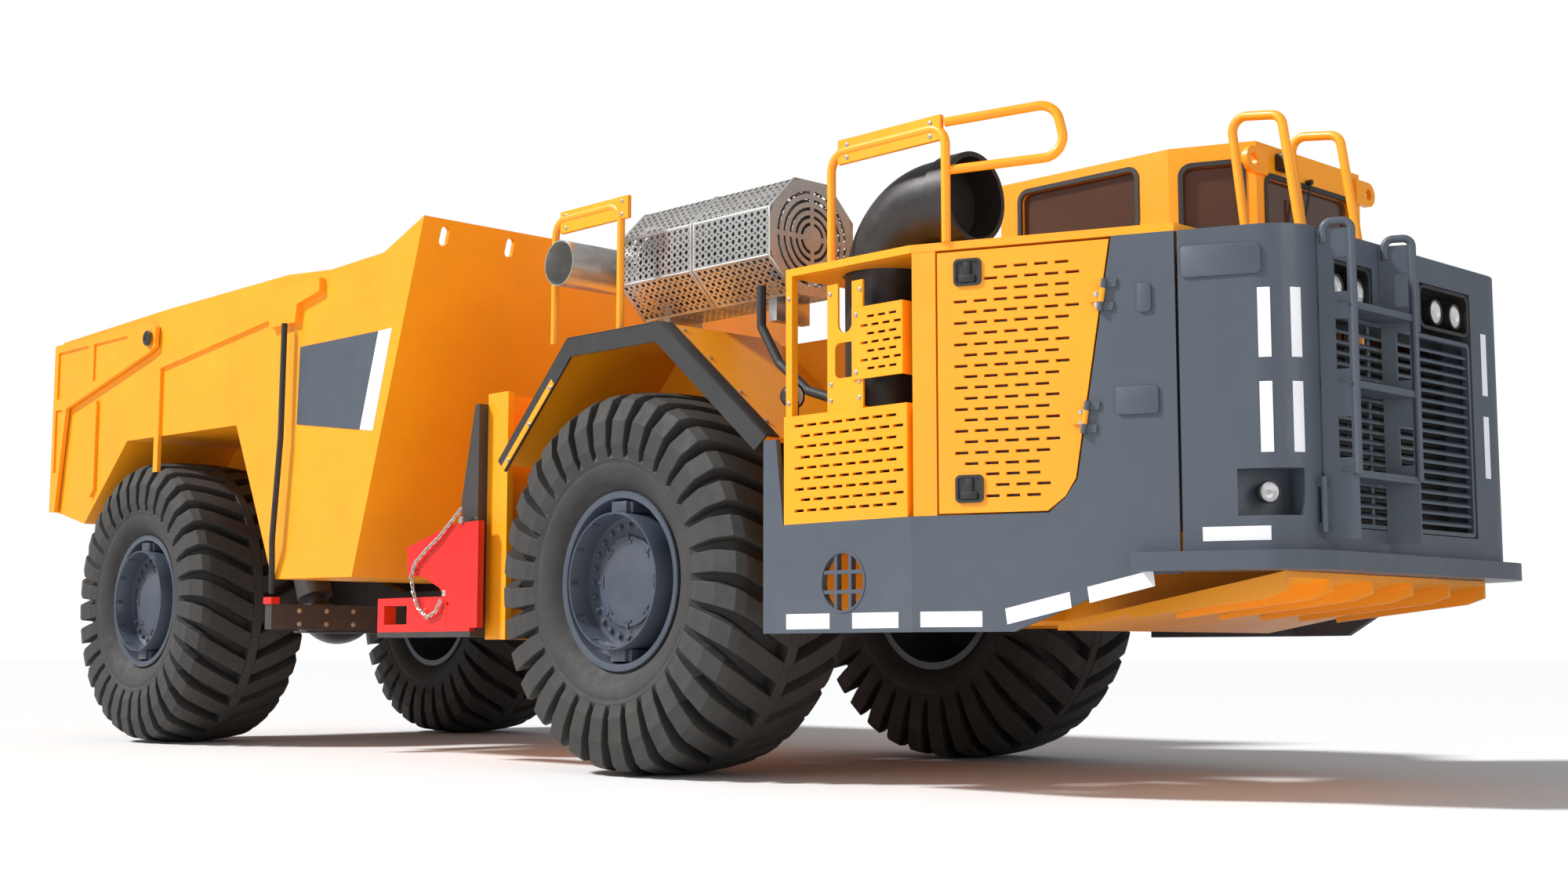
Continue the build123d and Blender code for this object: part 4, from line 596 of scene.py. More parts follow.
# the muffler's perforated guard, an octagon round an axis that runs forward
guardSettings = {
    "holes": (12, 6), "holeRadius": 0.0125, "holeSides": 12, "sheet": 0.003, "mergeGap": 0.0005,
    "halfGap": 0.003, "endMargin": 0.016, "sideMargin": 0.006, "cornerRod": 0.0065,
    "band": 0.018, "bandFaces": (0.001, -0.004), "bandEdge": 0.0015,
    "slotRings": (0.075, 0.113, 0.154, 0.197, 0.240), "slotHalfWidth": 0.0085, "ringSides": 64,
    "endPlate": 0.006, "endInset": 0.003, "endSides": 32,
    "crossHalfWidth": 0.013, "crossOverlap": 0.005, "crossInset": 0.0006,
    "bodyTaper": 0.03, "bodyRadii": (0.18, 0.215),
    "feet": (-0.133, 0.70), "footLength": 0.06, "footHalfWidth": 0.12, "footZ": 2.312, "footRise": 0.20,
    "footEdge": 0.003,
}


def perforatedFace(corner, across, outward, length, width):
    # one tile with a round hole, repeated along and across, then given the sheet's thickness
    s = guardSettings
    along = Vector((1, 0, 0))
    columns, rows = s["holes"]
    tileLength, tileWidth = length / columns, width / rows
    centre = corner + along * (tileLength / 2) + across * (tileWidth / 2)
    tiny = 0.001                        # keeps the division away from zero
    outer, inner = [], []
    for k in range(s["holeSides"]):
        angle = 2 * pi * k / s["holeSides"]
        reach = min(tileLength / 2 / max(abs(cos(angle)), tiny), tileWidth / 2 / max(abs(sin(angle)), tiny))
        spoke = along * cos(angle) + across * sin(angle)
        outer.append(centre + spoke * reach)
        inner.append(centre + spoke * s["holeRadius"])
    tile = growThrough([outer, inner], caps=False)
    for count, step in ((columns, along * tileLength), (rows, across * tileWidth)):
        useModifier(tile, "ARRAY", count=count, use_relative_offset=False, use_constant_offset=True,
                    constant_offset_displace=step, use_merge_vertices=True, merge_threshold=s["mergeGap"])
    recalculate(tile)
    if tile.data.polygons[0].normal.dot(outward) < 0:
        tile.data.flip_normals()
    useModifier(tile, "SOLIDIFY", thickness=s["sheet"], offset=-1.0)
    return tile


def octagonRing(x0, x1, centre, outer, inner):
    grow = 1 / cos(pi / 8)
    loops = [ringPoints((x, centre.y, centre.z), (1, 0, 0), r * grow, 8, pi / 8)
             for x, r in ((x0, outer), (x1, outer), (x1, inner), (x0, inner))]
    return soften(growThrough(loops, True), guardSettings["bandEdge"], 1)


def guardShell(x0, x1, centre, apothem):
    # two halves of eight perforated faces, with a rod along each corner and a band round each end
    s = guardSettings
    side = 2 * apothem * tan(pi / 8)
    half = (x0 + x1) / 2
    pieces = []
    for start, end in ((x0, half - s["halfGap"]), (half + s["halfGap"], x1)):
        origin = Vector((start, centre.y, centre.z))
        length = Vector((end - start, 0, 0))
        margin = Vector((s["endMargin"], 0, 0))
        for k in range(8):
            angle = pi / 4 * k
            outward = Vector((0, cos(angle), sin(angle)))
            across = Vector((0, -sin(angle), cos(angle)))
            corner = origin + margin + outward * apothem - across * (side / 2 - s["sideMargin"])
            pieces.append(perforatedFace(corner, across, outward, length.x - 2 * margin.x,
                                         side - 2 * s["sideMargin"]))
            edge = Vector((0, cos(angle + pi / 8), sin(angle + pi / 8)))
            spot = origin + edge * (apothem / cos(pi / 8) - s["cornerRod"])
            pieces.append(bar(spot, spot + length, s["cornerRod"], 8))
        for a, b in ((start, start + s["band"]), (end - s["band"], end)):
            pieces.append(octagonRing(a, b, centre, *(apothem + face for face in s["bandFaces"])))
    return joined(pieces)


def guardEnd(x, thick, centre, apothem):
    # an octagonal plate with slots in rings round its middle, under two crossing bars
    s = guardSettings
    edges = [0.0] + [r + d for r in s["slotRings"] for d in (-s["slotHalfWidth"], s["slotHalfWidth"])]
    origin = Vector((x, centre.y, centre.z))
    pieces = []
    for inner, outer in zip(edges[0::2], edges[1::2]):
        hole = max(inner, 0.001)        # the middle disc closes round a pinhole
        rows = ((0, hole), (thick, hole), (thick, outer), (0, outer))
        pieces.append(soften(turnedPiece(origin, (1, 0, 0), rows, s["ringSides"], True)))
    loops = []
    for step, atEdge in ((0, False), (thick, False), (thick, True), (0, True)):
        loop = []
        for spoke in ringPoints((0, 0, 0), (1, 0, 0), 1.0, s["endSides"], pi / s["endSides"]):
            angle = atan2(spoke.z, spoke.y)
            nearest = round(angle / (pi / 4)) * pi / 4
            reach = (apothem - s["endInset"]) / cos(angle - nearest) if atEdge else edges[-1]
            loop.append(origin + Vector((step, 0, 0)) + spoke * reach)
        loops.append(loop)
    pieces.append(soften(growThrough(loops, True)))
    low, high = min(x, x + thick), max(x, x + thick)
    narrow, reach = s["crossHalfWidth"], edges[-1] + s["crossOverlap"]
    for halfY, halfZ, inset in ((narrow, reach, s["crossInset"]), (reach, narrow, 2 * s["crossInset"])):
        pieces.append(slab((low + inset, centre.y - halfY, centre.z - halfZ),
                           (high - inset, centre.y + halfY, centre.z + halfZ)))
    return joined(pieces)


def makeMufflerGuard():
    s = guardSettings
    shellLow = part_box("muffler_guard")[0]
    endLow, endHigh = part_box("muffler_end_plate")
    centre = (endLow + endHigh) / 2
    apothem = (endHigh.z - endLow.z) / 2
    x0, x1 = shellLow.x, endHigh.x
    place(guardShell(x0, x1, centre, apothem), "muffler guard", "front_unit", stainlessSheet,
          replaces=("muffler_guard", "muffler_end_plate"))
    thick = s["endPlate"]
    ends = [guardEnd(x1 - thick, thick, centre, apothem), guardEnd(x0 + thick, -thick, centre, apothem)]
    place(joined(ends), "muffler guard ends", "front_unit", stainlessSheet)
    taper, (narrow, wide) = s["bodyTaper"], s["bodyRadii"]
    length = x1 - x0 - 2 * taper
    inside = soften(turnedPiece((x0 + taper, centre.y, centre.z), (1, 0, 0),
                                ((0, narrow), (taper, wide), (length - taper, wide), (length, narrow))))
    place(inside, "muffler body", "front_unit", ironCasting)
    feet = [frontSlab((a, centre.y - s["footHalfWidth"], s["footZ"]),
                      (a + s["footLength"], centre.y + s["footHalfWidth"], shellLow.z + s["footRise"]),
                      s["footEdge"]) for a in s["feet"]]
    place(joined(feet), "muffler feet", "front_unit", stainlessSheet)


makeMufflerGuard()
print("muffler guard ready")


# the nose's outline, walked from the kink along the right wall, round the corner and across the front
noseSettings = {"arcStart": 1.519, "radius": 0.25}      # the wall's length up to the corner's curve


def cornerCentre(z):
    s = noseSettings
    arcStart = onWall(s["arcStart"], z)
    return Vector((arcStart.x - s["radius"] * sin(noseAngle), arcStart.y + s["radius"] * cos(noseAngle), z))


def onNose(d, z, out=0.0):
    s = noseSettings
    if d <= s["arcStart"]:
        return onWall(d, z, out)
    centre = cornerCentre(z)
    turn = pi / 2 - noseAngle
    angle = (d - s["arcStart"]) / s["radius"] - turn
    if angle <= 0:
        return centre + Vector((cos(angle), sin(angle), 0)) * (s["radius"] + out)
    return centre + Vector((s["radius"] + out, angle * s["radius"], 0))


def bentPlate(d0, d1, z0, z1, thick, columns=8):
    loops = []
    for k in range(columns + 1):
        d = d0 + (d1 - d0) * k / columns
        loops.append([onNose(d, z0, standOff), onNose(d, z1, standOff), onNose(d, z1, thick),
                      onNose(d, z0, thick)])
    return soften(growThrough(loops))


def wallPlate(outline, out0, out1, bevel=0.0):
    return soften(growThrough([[onWall(s, z, out) for s, z in outline] for out in (out0, out1)]), bevel)


# white reflective strips, and the stripe and dark panel on the dump box
stripSettings = {
    "thick": 0.0015, "panelThick": 0.003,
    # stations and heights on the side, outlines on the sill, distances and heights round the corner,
    # y and heights on the front, and outlines on the dump box with stations from the rear axle
    "side": ((1.253, 1.536, 0.738, 0.808), (1.680, 1.963, 0.738, 0.808)),
    "sill": (((0.040, 0.740), (0.323, 0.740), (0.323, 0.808), (0.040, 0.808)),
             ((0.435, 0.750), (0.719, 0.818), (0.711, 0.886), (0.426, 0.818)),
             ((0.797, 0.838), (1.078, 0.906), (1.070, 0.974), (0.788, 0.906))),
    "corner": ((1.528, 1.580, 1.845, 2.138), (1.528, 1.580, 1.450, 1.744), (1.664, 1.712, 1.845, 2.138),
               (1.664, 1.712, 1.450, 1.744), (1.281, 1.560, 1.088, 1.147)),
    "front": ((0.680, 0.732, 1.826, 2.118), (0.680, 0.732, 1.437, 1.727)),
    "boxStripe": ((3.015, 2.571), (3.162, 2.573), (2.975, 1.966), (2.83, 1.984)),
    "boxPanel": ((2.105, 2.576), (3.012, 2.571), (2.827, 1.984), (2.085, 2.079)),
}


def boxPlate(outline, thick):
    return plate([(rear(b), -boxSide - standOff, z) for b, z in outline], (0, -thick, 0))


def makeStrips():
    s = stripSettings
    thick = s["thick"]
    pieces = [frontSlab((a0, -bodySide - thick, z0), (a1, -bodySide - standOff, z1))
              for a0, a1, z0, z1 in s["side"]]
    pieces += [wallPlate(outline, standOff, thick) for outline in s["sill"]]
    pieces += [bentPlate(d0, d1, z0, z1, thick) for d0, d1, z0, z1 in s["corner"]]
    pieces += [frontSlab((noseStation + standOff, y0, z0), (noseStation + thick, y1, z1))
               for y0, y1, z0, z1 in s["front"]]
    place(joined(pieces), "reflective strips", "front_unit", reflective)
    place(boxPlate(s["boxStripe"], thick), "box stripe", "dump_box", reflective)
    place(boxPlate(s["boxPanel"], s["panelThick"]), "box dark panel", "dump_box", greyPaint)


makeStrips()


# raised blank plates on the slanted wall, and the round vent's ring on the grey side
padSettings = {
    # a plate's outline and the pads' limits, along the wall and in height
    "plate": ((1.225, 2.200), (1.215, 2.215), (1.213, 2.320), (1.228, 2.336), (1.530, 2.330), (1.546, 2.312),
              (1.548, 2.215), (1.535, 2.198)),
    "plateThick": 0.008, "plateEdge": 0.002,
    "pads": ((0.926, 1.110, 1.632, 1.752), (1.025, 1.086, 2.067, 2.192)),
    "padCorner": 0.018, "padThick": 0.010, "padEdge": 0.003,
    # the vent's station and height
    "vent": (1.62, 0.95), "ventOut": 0.0003, "ventRadii": (0.131, 0.142), "ventThick": 0.003,
}


def makePads():
    s = padSettings
    pieces = [wallPlate(s["plate"], standOff, s["plateThick"], s["plateEdge"])]
    for pad in s["pads"]:
        pieces.append(wallPlate(roundedOutline(*pad, s["padCorner"]), standOff, s["padThick"], s["padEdge"]))
    place(joined(pieces), "blank plates", "front_unit", greyPaint)
    (a, z), (inner, outer), thick = s["vent"], s["ventRadii"], s["ventThick"]
    ring = turnedPiece((front(a), -bodySide - s["ventOut"], z), (0, -1, 0),
                       ((0, inner), (thick, inner), (thick, outer), (0, outer)), closed=True)
    place(soften(ring), "vent ring", "front_unit", greyPaint)


makePads()
print("strips and plates ready")


# the engine door's latches and hinge bolts
latchSettings = {
    "places": ((0.272, 2.300), (0.272, 1.340)), "half": (0.064, 0.061), "corner": 0.022, "proud": 0.010,
    "rim": 0.013, "innerCorner": 0.014, "floor": 0.0014, "floorPlate": 0.0016,
    # each handle about the latch's middle: its four sides, its corners and its two faces
    "handles": (((-0.017, 0.017, -0.020, 0.046), 0.008, (0.0018, 0.013)),
                ((-0.038, 0.038, -0.046, -0.014), 0.008, (0.0018, 0.015))), "handleEdge": 0.003,
    "hingeBolts": ((0.775, 1.606), (0.775, 1.652), (0.850, 2.112), (0.850, 2.158)), "boltOut": 0.008,
    "boltSize": 0.008, "boltHeight": 0.006,
}


def makeDoorDetails():
    s = latchSettings
    (halfS, halfZ), rim = s["half"], s["rim"]
    frames, handles = [], []
    for s0, z0 in s["places"]:
        outer = roundedOutline(s0 - halfS, s0 + halfS, z0 - halfZ, z0 + halfZ, s["corner"])
        inner = roundedOutline(s0 - halfS + rim, s0 + halfS - rim, z0 - halfZ + rim, z0 + halfZ - rim,
                               s["innerCorner"])
        frames.append(frameRing(onWall, outer, inner, standOff, s["proud"], s["floor"]))
        frames.append(wallPlate(inner, standOff, s["floorPlate"]))
        for (s1, s2, z1, z2), corner, (back, face) in s["handles"]:
            outline = roundedOutline(s0 + s1, s0 + s2, z0 + z1, z0 + z2, corner)
            handles.append(wallPlate(outline, back, face, s["handleEdge"]))
    place(joined(frames), "latch frames", "engine_door", blackPaintAndShade)
    place(joined(handles), "latch handles", "engine_door", blackPlastic)
    outward = (sin(noseAngle), -cos(noseAngle), 0)
    doorBolts = [hexBolt(onWall(s0, z0, s["boltOut"]), outward, s["boltSize"], s["boltHeight"])
                 for s0, z0 in s["hingeBolts"]]
    place(joined(doorBolts), "door hinge bolts", "engine_door", boltZinc)


makeDoorDetails()


# the right arch's rubber flap, and the strip that clamps its rear edge
flapSettings = {
    "top": ((-1.076, 1.692), (-0.465, 2.312), (0.303, 2.312), (1.090, 1.660)), "inner": -1.470,
    "inset": 0.0005, "lift": 0.0008,
    "level": 0.0075, "sloped": 0.0087,  # upright thickness at the level bends and at the sloped ends
    "strip": ((-1.012, 1.640), (-0.570, 2.078), (-0.594, 2.108), (-1.038, 1.664)),
    "stripOut": 0.001, "stripThick": 0.005, "edge": (0.0015, 0.001),
}


def makeFlap():
    s = flapSettings
    flapEdge, stripEdge = s["edge"]
    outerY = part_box("fender_seals")[0].y + s["inset"]
    inward = Vector((0, s["inner"] - outerY, 0))
    loops = []
    for (a, z), thick in zip(s["top"], (s["sloped"], s["level"], s["level"], s["sloped"])):
        point = Vector((front(a), outerY, z + s["lift"]))
        above = point + Vector((0, 0, thick))
        loops.append([point, point + inward, above + inward, above])
    place(soften(growThrough(loops), flapEdge, 1), "fender flap", "front_unit", sealRubber)
    strip = plate([Vector((front(a), outerY - s["stripOut"], z)) for a, z in s["strip"]],
                  (0, -s["stripThick"], 0), stripEdge, 1)
    place(strip, "flap strip", "front_unit", yellowPaint)


makeFlap()


# bolts of the front unit and of the rear unit's anchor bar
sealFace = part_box("fender_seals")[0].y
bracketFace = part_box("battery_bracket")[0].y
boltSettings = {
    "size": 0.0085, "height": 0.007,
    # down the fender's slope: where it starts, its fall, its way out, and each bolt's station and y
    "slopeStart": (0.303, 2.317), "fall": 0.8285, "slopeOut": (0.652, 0, 0.787),
    "slope": ((0.345, -1.426), (0.545, -1.426), (0.784, -1.440), (0.985, -1.450)),
    # along the flap's strip: its y, the first and last bolt's station and height, and how many
    "strip": (sealFace - 0.006, (-0.975, 1.692), (-0.600, 2.060), 3),
    # in rows that face right: their y, their stations and their heights
    "rows": ((bracketFace, (1.535, 1.715), (1.790, 1.865)), (bracketFace, (1.530, 1.722), (2.290,)),
             (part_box("side_guard")[0].y, (1.705,), (1.905, 2.172)), (-1.522, (1.60, 2.12), (2.94, 3.00)),
             (-1.512, (-0.55, -0.07), (2.945, 3.015)), (-bodySide, (1.27,), (1.80, 2.30))),
    # on the anchor bar: its station from the rear axle, then y on both sides, and heights
    "anchorX": 1.876, "anchorY": (1.02, 1.22, 1.42), "anchorZ": (0.815, 0.900),
    "anchorSize": 0.012, "anchorHeight": 0.010,
}


def makeBolts():
    s = boltSettings
    right = (0, -1, 0)
    startA, startZ = s["slopeStart"]
    places = [(Vector((front(a), y, startZ - s["fall"] * (a - startA))), s["slopeOut"])
              for a, y in s["slope"]]
    y, first, last, count = s["strip"]
    for k in range(count):
        a, z = (start + (end - start) * k / (count - 1) for start, end in zip(first, last))
        places.append((Vector((front(a), y, z)), right))
    places += [(Vector((front(a), y, z)), right) for y, stations, heights in s["rows"]
               for a in stations for z in heights]
    bolts = [hexBolt(spot, direction, s["size"], s["height"]) for spot, direction in places]
    place(joined(bolts), "body bolts", "front_unit", boltZinc)
    anchorBolts = [hexBolt((rear(s["anchorX"]), side * y, z), (1, 0, 0), s["anchorSize"], s["anchorHeight"])
                   for side in (-1, 1) for y in s["anchorY"] for z in s["anchorZ"]]
    place(joined(anchorBolts), "anchor bar bolts", "rear_unit", boltZinc)


makeBolts()
print("latches and bolts ready")


# the grille's front slats with the dark core behind, and black sheets of painted shade behind the slotted
# sheets
grilleSettings = {
    # the slats' back and front, ends, and the opening's lower and upper edge
    "x": (3.566, 3.584), "y": (-0.672, 0.567), "z": (1.168, 2.044),
    "firstSlat": 0.030, "pitch": 0.046, "slat": 0.012, "slope": 0.012, "posts": (-0.300, 0.100),
    "postHalf": 0.012, "frameOut": 0.014, "frameIn": 0.006, "frameCorners": (0.03, 0.02),
    "frameFaces": (-0.004, 0.010),
    "core": ((3.250, -0.64, 1.19), (3.280, 0.52, 2.03)),
    # black sheets of painted shade behind the slotted side sheets and behind the engine door's slots
    "slotShadeSheets": (((1.265, -1.520, 1.19), (1.990, -1.512, 1.70)),
               ((1.745, -1.535, 1.885), (1.978, -1.528, 2.195))),
    "doorShadeSheet": ((0.16, 1.25), (0.64, 1.25), (0.74, 1.40), (0.87, 2.34), (0.16, 2.34)),
    "doorShadeSheetOut": (-0.040, -0.034),
}


def onFront(y, z, a):
    return Vector((front(a), y, z))


def makeGrille():
    s = grilleSettings
    (x0, x1), (y0, y1), (z0, z1) = s["x"], s["y"], s["z"]
    pieces = []
    for k in range(int((z1 - z0 - s["firstSlat"]) / s["pitch"])):
        z = z0 + s["firstSlat"] + s["pitch"] * k
        rows = ((x0, z + s["slope"]), (x1, z), (x1, z + s["slat"]), (x0, z + s["slope"] + s["slat"]))
        pieces.append(growThrough([[onFront(y, height, a) for a, height in rows] for y in (y0, y1)]))
    half, out, inside = s["postHalf"], s["frameOut"], s["frameIn"]
    pieces += [frontSlab((x0 - half, y - half, z0), (x0, y + half, z1)) for y in s["posts"]]
    outerCorner, innerCorner = s["frameCorners"]
    outer = roundedOutline(y0 - out, y1 + out, z0 - out, z1 + out, outerCorner)
    inner = roundedOutline(y0 + inside, y1 - inside, z0 + inside, z1 - inside, innerCorner)
    back, face = x0 + s["frameFaces"][0], x1 + s["frameFaces"][1]
    pieces.append(frameRing(onFront, outer, inner, back, face, back))
    place(joined(pieces), "grille slats", "front_unit", greyPaint)
    place(frontSlab(*s["core"]), "radiator core", "front_unit", blackPaintAndShade)
    # painted shade: black sheets behind the slots, so the inside shows dark through them
    place(joined([frontSlab(*shadeSheet) for shadeSheet in s["slotShadeSheets"]]), "slot shade sheets", "front_unit", blackPaintAndShade)
    place(wallPlate(s["doorShadeSheet"], *s["doorShadeSheetOut"]), "door shade sheet", "engine_door", blackPaintAndShade)


makeGrille()


# lamps: four in the nose behind surrounds, one in each rounded corner, and the work lamp on its arm
lampSettings = {
    "sides": 40, "pinhole": 0.001,
    # in the nose: how far their panel sits behind its front plane, and each lamp's y
    "panelBack": 0.140, "panelOut": 0.0003, "front": (-0.560, -0.380, 0.316, 0.497), "z": 2.180,
    "radius": 0.062, "depth": 0.112,
    # in the corner pockets: the way they face, and their place from the centre of the corner's curve
    "cornerAngle": 33.75, "cornerZ": 1.290, "cornerOut": 0.1003, "cornerBack": 0.080, "cornerRadius": 0.048,
    "cornerDepth": 0.075,
    # the work lamp with its foot and arm
    "workRadius": 0.062, "workDepth": 0.075,
    "foot": (1.24, 1.33), "footHalf": 0.022, "footThick": 0.008,
    "arm": (1.197, 1.25), "armHalf": 0.008, "armRaise": 0.001, "armShort": 0.03, "edge": 0.002,
    "surrounds": ((0.112, 0.583, 2.085, 2.288), (-0.688, -0.312, 2.085, 2.288)), "surroundWidth": 0.016,
    "surroundCorners": (0.05, 0.036), "surroundBack": -0.060, "surroundFace": -0.004,
}


# a lamp's body with a rounded back, its bowl and its domed lens: rows of depth and radius shares, and
# whether the rows close on themselves
lampShapes = (
    (((0.0, 0.0), (0.0, 0.55), (0.25, 0.80), (0.60, 0.96), (0.92, 1.0), (1.0, 0.97), (1.0, 0.84),
      (0.80, 0.80), (0.78, 0.0)), False),
    (((0.79, 0.25), (0.80, 0.50), (0.86, 0.72), (0.955, 0.835), (0.955, 0.80), (0.87, 0.68), (0.815, 0.45),
      (0.805, 0.25)), True),
    (((0.935, 0.0), (0.935, 0.82), (0.96, 0.82), (0.99, 0.60), (1.0, 0.30), (1.0, 0.0)), False),
)


def roundLamp(back, direction, radius, depth):
    pieces = []
    for rows, closed in lampShapes:
        profile = [(depth * d, max(radius * r, lampSettings["pinhole"])) for d, r in rows]
        pieces.append(soften(turnedPiece(back, direction, profile, lampSettings["sides"], closed)))
    return pieces


def makeLamps():
    s = lampSettings
    ahead = (1, 0, 0)
    panelX = front(noseStation - s["panelBack"]) + s["panelOut"]
    spots = [((panelX, y, s["z"]), ahead, s["radius"], s["depth"]) for y in s["front"]]
    angle = radians(s["cornerAngle"])
    centreX = front(noseStation - noseSettings["radius"])
    for side in (-1, 1):
        outward = Vector((cos(angle), side * sin(angle), 0))
        along = Vector((sin(angle), -side * cos(angle), 0))
        centre = Vector((centreX, -side * cornerCentre(0).y, s["cornerZ"]))
        spots.append((centre + outward * s["cornerOut"] - along * s["cornerBack"], outward, s["cornerRadius"],
                      s["cornerDepth"]))
    bodies, bowls, lenses = zip(*[roundLamp(*spot) for spot in spots])
    place(joined(bodies), "lamp bodies", "front_unit", blackPlastic, replaces=("lamps",))
    place(joined(bowls), "lamp bowls", "front_unit", chromeRod)
    place(joined(lenses), "lamp lenses", "front_unit", lampGlass)

    low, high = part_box("work_lamp")
    y, z = (low.y + high.y) / 2, high.z - s["workRadius"]
    body, bowl, lens = roundLamp((low.x, y, z), ahead, s["workRadius"], s["workDepth"])
    (foot0, foot1), (arm0, arm1) = s["foot"], s["arm"]
    foot = frontSlab((foot0, y - s["footHalf"], low.z),
                     (foot1, y + s["footHalf"], low.z + s["footThick"]), s["edge"])
    arm = frontSlab((arm0, y - s["armHalf"], low.z + s["armRaise"]),
                    (arm1, y + s["armHalf"], z - s["armShort"]), s["edge"])
    place(joined([body, foot, arm]), "work lamp body", "front_unit", blackPlastic, replaces=("work_lamp",))
    place(bowl, "work lamp bowl", "front_unit", chromeRod)
    place(lens, "work lamp lens", "front_unit", lampGlass)

    rims = []
    width, (outerCorner, innerCorner) = s["surroundWidth"], s["surroundCorners"]
    back, face = noseStation + s["surroundBack"], noseStation + s["surroundFace"]
    for y0, y1, z0, z1 in s["surrounds"]:
        outer = roundedOutline(y0, y1, z0, z1, outerCorner)
        inner = roundedOutline(y0 + width, y1 - width, z0 + width, z1 - width, innerCorner)
        rims.append(frameRing(onFront, outer, inner, back, face, back, s["edge"]))
    place(joined(rims), "lamp surrounds", "front_unit", blackPlastic)


makeLamps()
print("lamps ready")


# seals round the cab's windows and the window of its door
sealSettings = {
    # a wall's start in station and y, its direction in plan, and the window's span and heights on it
    "windows": (((1.150, 0.155), (1, 0), (0.140, 0.890, 2.785, 3.095)),
                ((2.240, 0.155), (0.9162, 0.4008), (0.070, 0.365, 2.720, 3.060)),
                ((2.640, 0.330), (0, 1), (0.090, 0.900, 2.690, 3.000)),
                ((1.150, 1.330), (0, -1), (0.0, 0.910, 2.690, 3.010))),
    "width": 0.022, "proud": 0.007, "corner": 0.045, "overlap": 0.004, "sunk": -0.010,
    "doorWidth": 0.020, "doorProud": 0.006, "doorSunk": 0.002, "doorCorners": (0.03, 0.012),
}


def sealRing(spot, x0, x1, z0, z1, width, proud, corners):
    s = sealSettings
    lap = s["overlap"]
    outer = roundedOutline(x0 - width, x1 + width, z0 - width, z1 + width, corners[0])
    inner = roundedOutline(x0 + lap, x1 - lap, z0 + lap, z1 - lap, corners[1])
    return frameRing(spot, outer, inner, standOff, proud, s["sunk"])


def makeWindowSeals():
    s = sealSettings
    corners = (s["corner"] + s["width"], s["corner"])
    pieces = []
    for (a0, y0), (dx, dy), window in s["windows"]:
        def onCab(d, z, out):
            return Vector((front(a0) + dx * d + dy * out, y0 + dy * d - dx * out, z))

        pieces.append(sealRing(onCab, *window, s["width"], s["proud"], corners))
    place(joined(pieces), "window seals", "front_unit", sealRubber)


def makeDoorSeal():
    s = sealSettings
    low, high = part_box("cab_door_window")
    doorFace = bodySide - s["doorSunk"]

    def onDoor(x, z, out):
        return Vector((x, doorFace + out, z))

    seal = sealRing(onDoor, low.x, high.x, low.z, high.z, s["doorWidth"], s["doorProud"], s["doorCorners"])
    place(seal, "cab door seal", "cab_door", sealRubber)


# the wiper and the small lamp on the cab's front
cabFrontSettings = {
    "station": 2.640,
    # each corner or end is a distance out of the cab's front, then y and height
    "wiperArm": ((0.028, 0.80, 3.03), (0.022, 0.72, 2.76)), "armRadius": 0.006,
    "wiperBlade": ((0.006, 0.700, 2.700), (0.022, 0.712, 2.940)), "bladeEdge": 0.003,
    "wiperPivot": ((0.0006, 0.80, 3.03), (0.034, 0.80, 3.03)), "pivotRadius": 0.014,
    "lampBox": ((0.0006, 0.500, 3.040), (0.060, 0.600, 3.130)), "boxEdge": 0.012,
    "lamp": (0.058, 0.550, 3.085), "lampRadius": 0.036, "lampDepth": 0.020,
}


def makeCabFront():
    s = cabFrontSettings

    def out(x, y, z):
        return Vector((front(s["station"]) + x, y, z))

    arm, pivot, blade, box = ([out(*corner) for corner in s[key]]
                              for key in ("wiperArm", "wiperPivot", "wiperBlade", "lampBox"))
    wiper = [bar(*arm, s["armRadius"]), slab(*blade, s["bladeEdge"]), bar(*pivot, s["pivotRadius"])]
    place(joined(wiper), "wiper", "front_unit", blackPlastic)
    place(slab(*box, s["boxEdge"], 3), "cab lamp", "front_unit", blackPlastic)
    ring, bowl, lens = roundLamp(out(*s["lamp"]), (1, 0, 0), s["lampRadius"], s["lampDepth"])
    place(ring, "cab lamp ring", "front_unit", blackPlastic)
    place(lens, "cab lamp lens", "front_unit", lampGlass)
    place(bowl, "cab lamp bowl", "front_unit", chromeRod)


makeWindowSeals()
makeCabFront()
makeDoorSeal()
print("cab trim ready")


# the lock's safety chain, links turned in pairs along a hanging line, and the lock's pins
chainSettings = {
    "line": ((-1.385, -1.595, 1.437), (-1.586, -1.600, 1.290), (-1.703, -1.602, 1.227),
             (-1.821, -1.602, 1.150), (-1.862, -1.602, 1.073), (-1.835, -1.602, 0.982),
             (-1.787, -1.602, 0.890), (-1.689, -1.602, 0.832), (-1.603, -1.602, 0.865),
             (-1.558, -1.600, 0.931)),
    "pitch": 0.030, "wire": 0.0042, "linkShare": 0.30, "step": 0.92, "linkSides": 12, "wireSides": 6,
    # a pin's station, distances out of the lock's face and heights at both ends, radius and edge
    "pins": ((-1.385, (-0.012, 0.001), (1.377, 1.377), 0.020, 0.0),
             (-1.558, (0.020, 0.020), (0.951, 0.985), 0.026, 0.003),
             (-1.860, (-0.010, 0.001), (1.120, 1.120), 0.018, 0.002)),
}


def chainLink(centre, along, side):
    # a stadium of round wire
    s = chainSettings
    radius = s["pitch"] * s["linkShare"]
    normal = along.cross(side).normalized()
    loops = []
    for k in range(s["linkSides"]):
        angle = 2 * pi * k / s["linkSides"]
        level = round(cos(angle), 6)
        offset = radius if level > 0 else (-radius if level < 0 else 0)
        spot = centre + along * (offset + radius * cos(angle)) + side * radius * sin(angle)
        outward = (along * cos(angle) + side * sin(angle)).normalized()
        turns = [2 * pi * j / s["wireSides"] for j in range(s["wireSides"])]
        loops.append([spot + (outward * cos(turn) + normal * sin(turn)) * s["wire"] for turn in turns])
    return soften(growThrough(loops, True))


